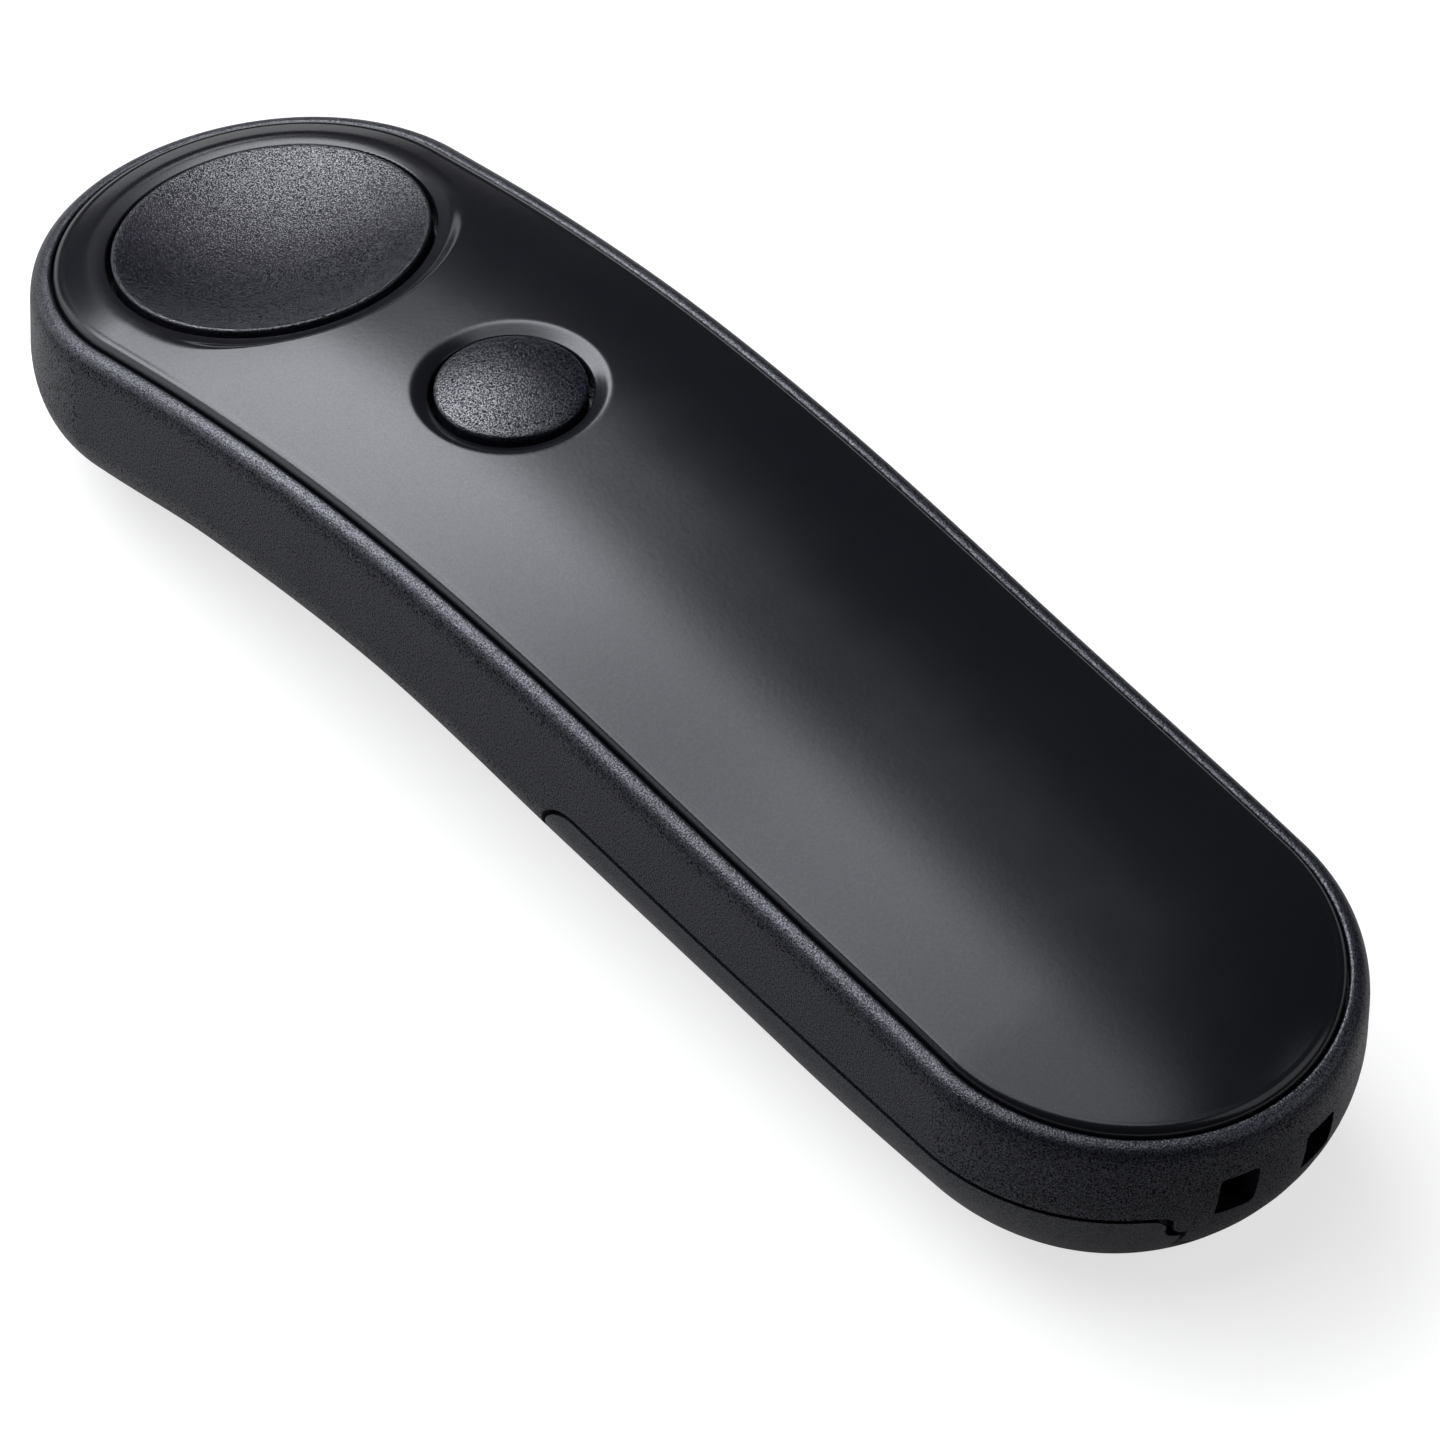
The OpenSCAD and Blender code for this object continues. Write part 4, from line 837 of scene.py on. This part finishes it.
BLACK = (0.0056, 0.0061, 0.0105)
COOL, COOLER = (0.94, 0.95, 1.0), (0.89, 0.905, 1.0)
SPARK = [(7500, 0.000036, 1.5, "noise"), (11000, 0.000010, 1, "noise")]
SPARK_PITS = (9000, 0.0, 2.2, 0.37, 0.64)
MATERIALS = {
    # The housing carries the painted sheen on its up-facing faces, the rim's top
    "housing": material("housing black, spark grain", BLACK, 0.34, SPARK, specular=0.205, rough_vary=0.03,
                        pits=SPARK_PITS, painted_top_sheen=1.05, tint=COOLER),
    "plate": material("plate black, satin", (0.0050, 0.0053, 0.0075), 0.20,
                      [(2800, 0.0000026, 2, "noise")], rough_vary=0.01, vary=0.04,
                      pits=(7000, 0.93, 1.07, 0.38, 0.62), tint=COOL),
    "cover": material("cover black, spark grain", BLACK, 0.36, SPARK, specular=0.24, rough_vary=0.03,
                      pits=SPARK_PITS, tint=COOLER),
    "door": material("door black, fine grain", (0.0064, 0.0069, 0.0110), 0.40,
                     [(7500, 0.000012, 1.5, "noise")], specular=0.40, rough_vary=0.03,
                     pits=(8000, 0.4, 1.6, 0.38, 0.62), tint=COOLER),
    "button": material("button black, sandblasted", (0.0050, 0.0054, 0.0090), 0.23,
                       [(9500, 0.000032, 1.5, "noise")], specular=0.42, rough_vary=0.03,
                       pits=(9500, 0.0, 2.5, 0.38, 0.63), tint=COOL),
    "frame": material("frame grey", (0.045, 0.047, 0.052), 0.55, [(1800, 0.000010, 3, "noise")]),
    "board": material("laminate green", (0.012, 0.085, 0.035), 0.38,
                      [(2400, 0.000006, 3, "noise")], coat=0.4),
    "switch": material("switch black", (0.02, 0.02, 0.022), 0.5, [(3000, 0.000008, 2, "noise")]),
    "plunger": material("plunger red", (0.42, 0.045, 0.03), 0.42, [(2600, 0.000006, 2, "noise")]),
    "module": material("module blue", (0.012, 0.05, 0.16), 0.4, [(2400, 0.000006, 3, "noise")], coat=0.4),
    "steel": material("plated steel", (0.62, 0.61, 0.58), 0.3,
                      [(2500, 0.000004, 2, "streak")], metallic=1.0),
    "ceramic": material("ceramic tan", (0.42, 0.3, 0.17), 0.5, [(3500, 0.000006, 2, "noise")]),
    "cell": material("cell jacket", (0.045, 0.05, 0.06), 0.34, [(900, 0.000008, 3, "noise")], coat=0.3),
    "wire": material("wire red", (0.4, 0.02, 0.015), 0.45, [(2200, 0.000010, 2, "noise")]),
    "screw": material("screw steel", (0.5, 0.5, 0.51), 0.36,
                      [(3000, 0.000006, 2, "streak")], metallic=1.0),
}

# The nodes that keep the CAD's own shapes
CARRIED = {
    "inner_frame": "frame", "circuit_board": "board", "forward_switch": "switch",
    "back_switch": "switch", "forward_plunger": "plunger", "back_plunger": "plunger",
    "radio_module": "module", "radio_shield": "steel", "timing_crystal": "steel",
    "board_capacitors": "ceramic", "battery_cell": "cell", "negative_spring": "steel",
    "negative_contact": "steel", "positive_contact": "steel", "positive_wire": "wire",
    "board_screws": "screw", "plate_screws": "screw", "cover_screws": "screw",
}
for node_name, key in CARRIED.items():
    for slot in NODES[node_name].material_slots:
        slot.material = MATERIALS[key]


def dress(obj, key, body, node):
    """Gives a shell its material and body, and puts it in the place of its CAD node."""
    obj.data.materials.clear()
    obj.data.materials.append(MATERIALS[key])
    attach(obj, body)
    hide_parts(node)


plate = join(make_plate(), plate_posts())
set_top_normals(plate)
dress(make_housing(), "housing", "body", "side_housing")
dress(plate, "plate", "body", "top_plate")
dress(make_cover(), "cover", "body", "underside_cover")
dress(make_door(), "door", "battery_door", "battery_door")
dress(make_forward_button(), "button", "forward_button", "forward_button")
dress(make_back_button(), "button", "back_button", "back_button")


# Studio
SUBJECT_Z = 0.012
LAMP_COLOR = (0.965, 0.975, 1.0)


def light_path(tree, weights):
    """The weight of the ray's kind, or 0."""
    path = tree.nodes.new("ShaderNodeLightPath")
    total = None
    for kind, weight in weights.items():
        share = tree.nodes.new("ShaderNodeMath")
        share.operation = "MULTIPLY_ADD"
        tree.links.new(path.outputs[kind], share.inputs[0])
        share.inputs[1].default_value = weight
        if total:
            tree.links.new(total, share.inputs[2])
        else:
            share.inputs[2].default_value = 0
        total = share.outputs[0]
    return total


def floor_material():
    """A pale surface that takes the shadow, lifted to white for the camera and a little in reflections."""
    mat = bpy.data.materials.new("floor white")
    mat.use_nodes = True
    tree = mat.node_tree
    tree.nodes.clear()
    diffuse = tree.nodes.new("ShaderNodeBsdfDiffuse")
    shade = noise(tree, texture_space(tree), 9, 3)
    mix = tree.nodes.new("ShaderNodeMix")
    mix.data_type = "RGBA"
    for i, grey in zip((6, 7), FLOOR_GREYS):
        mix.inputs[i].default_value = (grey, grey, grey, 1)
    tree.links.new(shade, mix.inputs[0])
    tree.links.new(mix.outputs[2], diffuse.inputs["Color"])
    glow = tree.nodes.new("ShaderNodeEmission")
    glow.inputs["Color"].default_value = (1, 1, 1, 1)
    lift = light_path(tree, {"Is Camera Ray": FLOOR_LIFT, "Is Transmission Ray": FLOOR_LIFT,
                             "Is Glossy Ray": FLOOR_IN_REFLECTIONS * FLOOR_LIFT})
    tree.links.new(lift, glow.inputs["Strength"])
    add = tree.nodes.new("ShaderNodeAddShader")
    tree.links.new(diffuse.outputs[0], add.inputs[0])
    tree.links.new(glow.outputs[0], add.inputs[1])
    out = tree.nodes.new("ShaderNodeOutputMaterial")
    tree.links.new(add.outputs[0], out.inputs["Surface"])
    return mat


# The shares of a lamp's width from and to which it dims, the brightness that is left, how much those shares
# slant along its height, and the share of its height from which it dims to nothing
Fade = namedtuple("Fade", "start end left slant top")


def lamp(name, width, height, radiance, fade=None):
    """An area light of a given brightness, which may fade across its face."""
    data = bpy.data.lights.new(name, "AREA")
    data.shape, data.size, data.size_y = "RECTANGLE", width, height
    data.energy = radiance * math.pi * width * height
    data.color = LAMP_COLOR
    if fade:
        data.use_nodes = True
        tree = data.node_tree
        across = tree.nodes.new("ShaderNodeSeparateXYZ")
        tree.links.new(tree.nodes.new("ShaderNodeNewGeometry").outputs["Parametric"], across.inputs[0])
        slant = tree.nodes.new("ShaderNodeMath")
        slant.operation = "MULTIPLY_ADD"
        tree.links.new(across.outputs["Y"], slant.inputs[0])
        slant.inputs[1].default_value = fade.slant
        tree.links.new(across.outputs["X"], slant.inputs[2])
        dim = spread(tree, slant.outputs[0], 1, fade.left, fade.start, fade.end)
        edge = spread(tree, across.outputs["Y"], 1, 0, fade.top, 1)
        both = tree.nodes.new("ShaderNodeMath")
        both.operation = "MULTIPLY"
        for i, side in enumerate((dim, edge)):
            side.node.interpolation_type = "SMOOTHSTEP"
            tree.links.new(side, both.inputs[i])
        tree.links.new(both.outputs[0], tree.nodes["Emission"].inputs["Strength"])
    obj = bpy.data.objects.new(name, data)
    bpy.context.scene.collection.objects.link(obj)
    return obj


def softbox(name, direction, distance, width, height, radiance):
    """A lamp that stands in a direction from the object and looks at it."""
    obj = lamp(name, width, height, radiance)
    d = Vector(direction).normalized()
    obj.location = Vector((0, 0, SUBJECT_Z)) + d * distance
    obj.rotation_mode = "QUATERNION"
    obj.rotation_quaternion = d.to_track_quat("Z", "Y")


def ceiling(name, turn, height, x0, x1, y0, y1, radiance, fade):
    """A lamp that hangs level, in metres. Its edges are shares of its height, along axes turned about Z."""
    obj = lamp(name, (x1 - x0) * height, (y1 - y0) * height, radiance, fade)
    spin = Matrix.Rotation(math.radians(turn), 4, "Z")
    middle = Vector(((x0 + x1) / 2, (y0 + y1) / 2, 1)) * height
    obj.matrix_world = spin @ Matrix.Translation(middle + Vector((0, 0, SUBJECT_Z)))


FLOOR_GREYS = (0.375, 0.385)
FLOOR_LIFT, FLOOR_IN_REFLECTIONS = 0.705, 0.14
bpy.ops.mesh.primitive_plane_add(size=16, location=(0, 0, -0.00002))
floor = bpy.context.object
floor.name = "floor"
floor.data.materials.append(floor_material())

ceiling("main box", -18, 0.75, -1.75, 0.25, -1.1, 0.43, 6.9,
        Fade(start=0.62, end=0.96, left=0.27, slant=0.249, top=0.84))
softbox("near box", (-0.76, -0.56, 0.24), 0.8, 0.9, 0.44, 1.35)
softbox("back box", (0.6, 0.5, 0.6), 0.8, 0.6, 0.5, 0.8)

# The world lights the object dimly, and is white where the camera sees it
world = bpy.data.worlds.new("studio")
bpy.context.scene.world = world
world.use_nodes = True
wt = world.node_tree
background = wt.nodes["Background"]
background.inputs["Color"].default_value = (0.97, 0.985, 1.0, 1)
background.inputs["Strength"].default_value = 0.04
white = wt.nodes.new("ShaderNodeBackground")
white.inputs["Color"].default_value = (1, 1, 1, 1)
white.inputs["Strength"].default_value = 1.0
mixer = wt.nodes.new("ShaderNodeMixShader")
wt.links.new(light_path(wt, {"Is Camera Ray": 1, "Is Transmission Ray": 1}), mixer.inputs[0])
wt.links.new(background.outputs[0], mixer.inputs[1])
wt.links.new(white.outputs[0], mixer.inputs[2])
wt.links.new(mixer.outputs[0], wt.nodes["World Output"].inputs["Surface"])

bpy.context.scene.view_settings.view_transform = "Standard"


# Camera: the photograph's viewing angle, distance and framing. Lengths are in millimetres, SCALE is pixels per
# millimetre at the centre, and PRINCIPAL is the pixel that the lens looks at squarely
ELEVATION, AZIMUTH, ROLL = (math.radians(a) for a in (46.08133, 48.14291, 1.62840))
DISTANCE, SCALE, CENTRE = 989.3968, 15.452947, Vector((0, 0, 12.0))
PRINCIPAL = (684.7999, 635.7467)
PIXELS, SENSOR = 1440, 36
right = Vector((math.cos(AZIMUTH), math.sin(AZIMUTH), 0))
ahead = Vector((-math.sin(AZIMUTH) * math.cos(ELEVATION), math.cos(AZIMUTH) * math.cos(ELEVATION),
                -math.sin(ELEVATION)))
upward = right.cross(ahead)
cam_x = math.cos(ROLL) * right + math.sin(ROLL) * upward
cam_y = -math.sin(ROLL) * right + math.cos(ROLL) * upward
cam_data = bpy.data.cameras.new("camera")
cam_data.sensor_width = SENSOR
cam_data.sensor_fit = "AUTO"
cam_data.lens = SENSOR * SCALE * DISTANCE / PIXELS
cam_data.shift_x = (PIXELS / 2 - PRINCIPAL[0]) / PIXELS
cam_data.shift_y = (PRINCIPAL[1] - PIXELS / 2) / PIXELS
cam_data.clip_start, cam_data.clip_end = 0.05, 50
camera = bpy.data.objects.new("camera", cam_data)
camera.matrix_world = Matrix.Translation((CENTRE - DISTANCE * ahead) * MM) @ Matrix(
    (cam_x, cam_y, -ahead)).transposed().to_4x4()
bpy.context.scene.collection.objects.link(camera)
bpy.context.scene.camera = camera
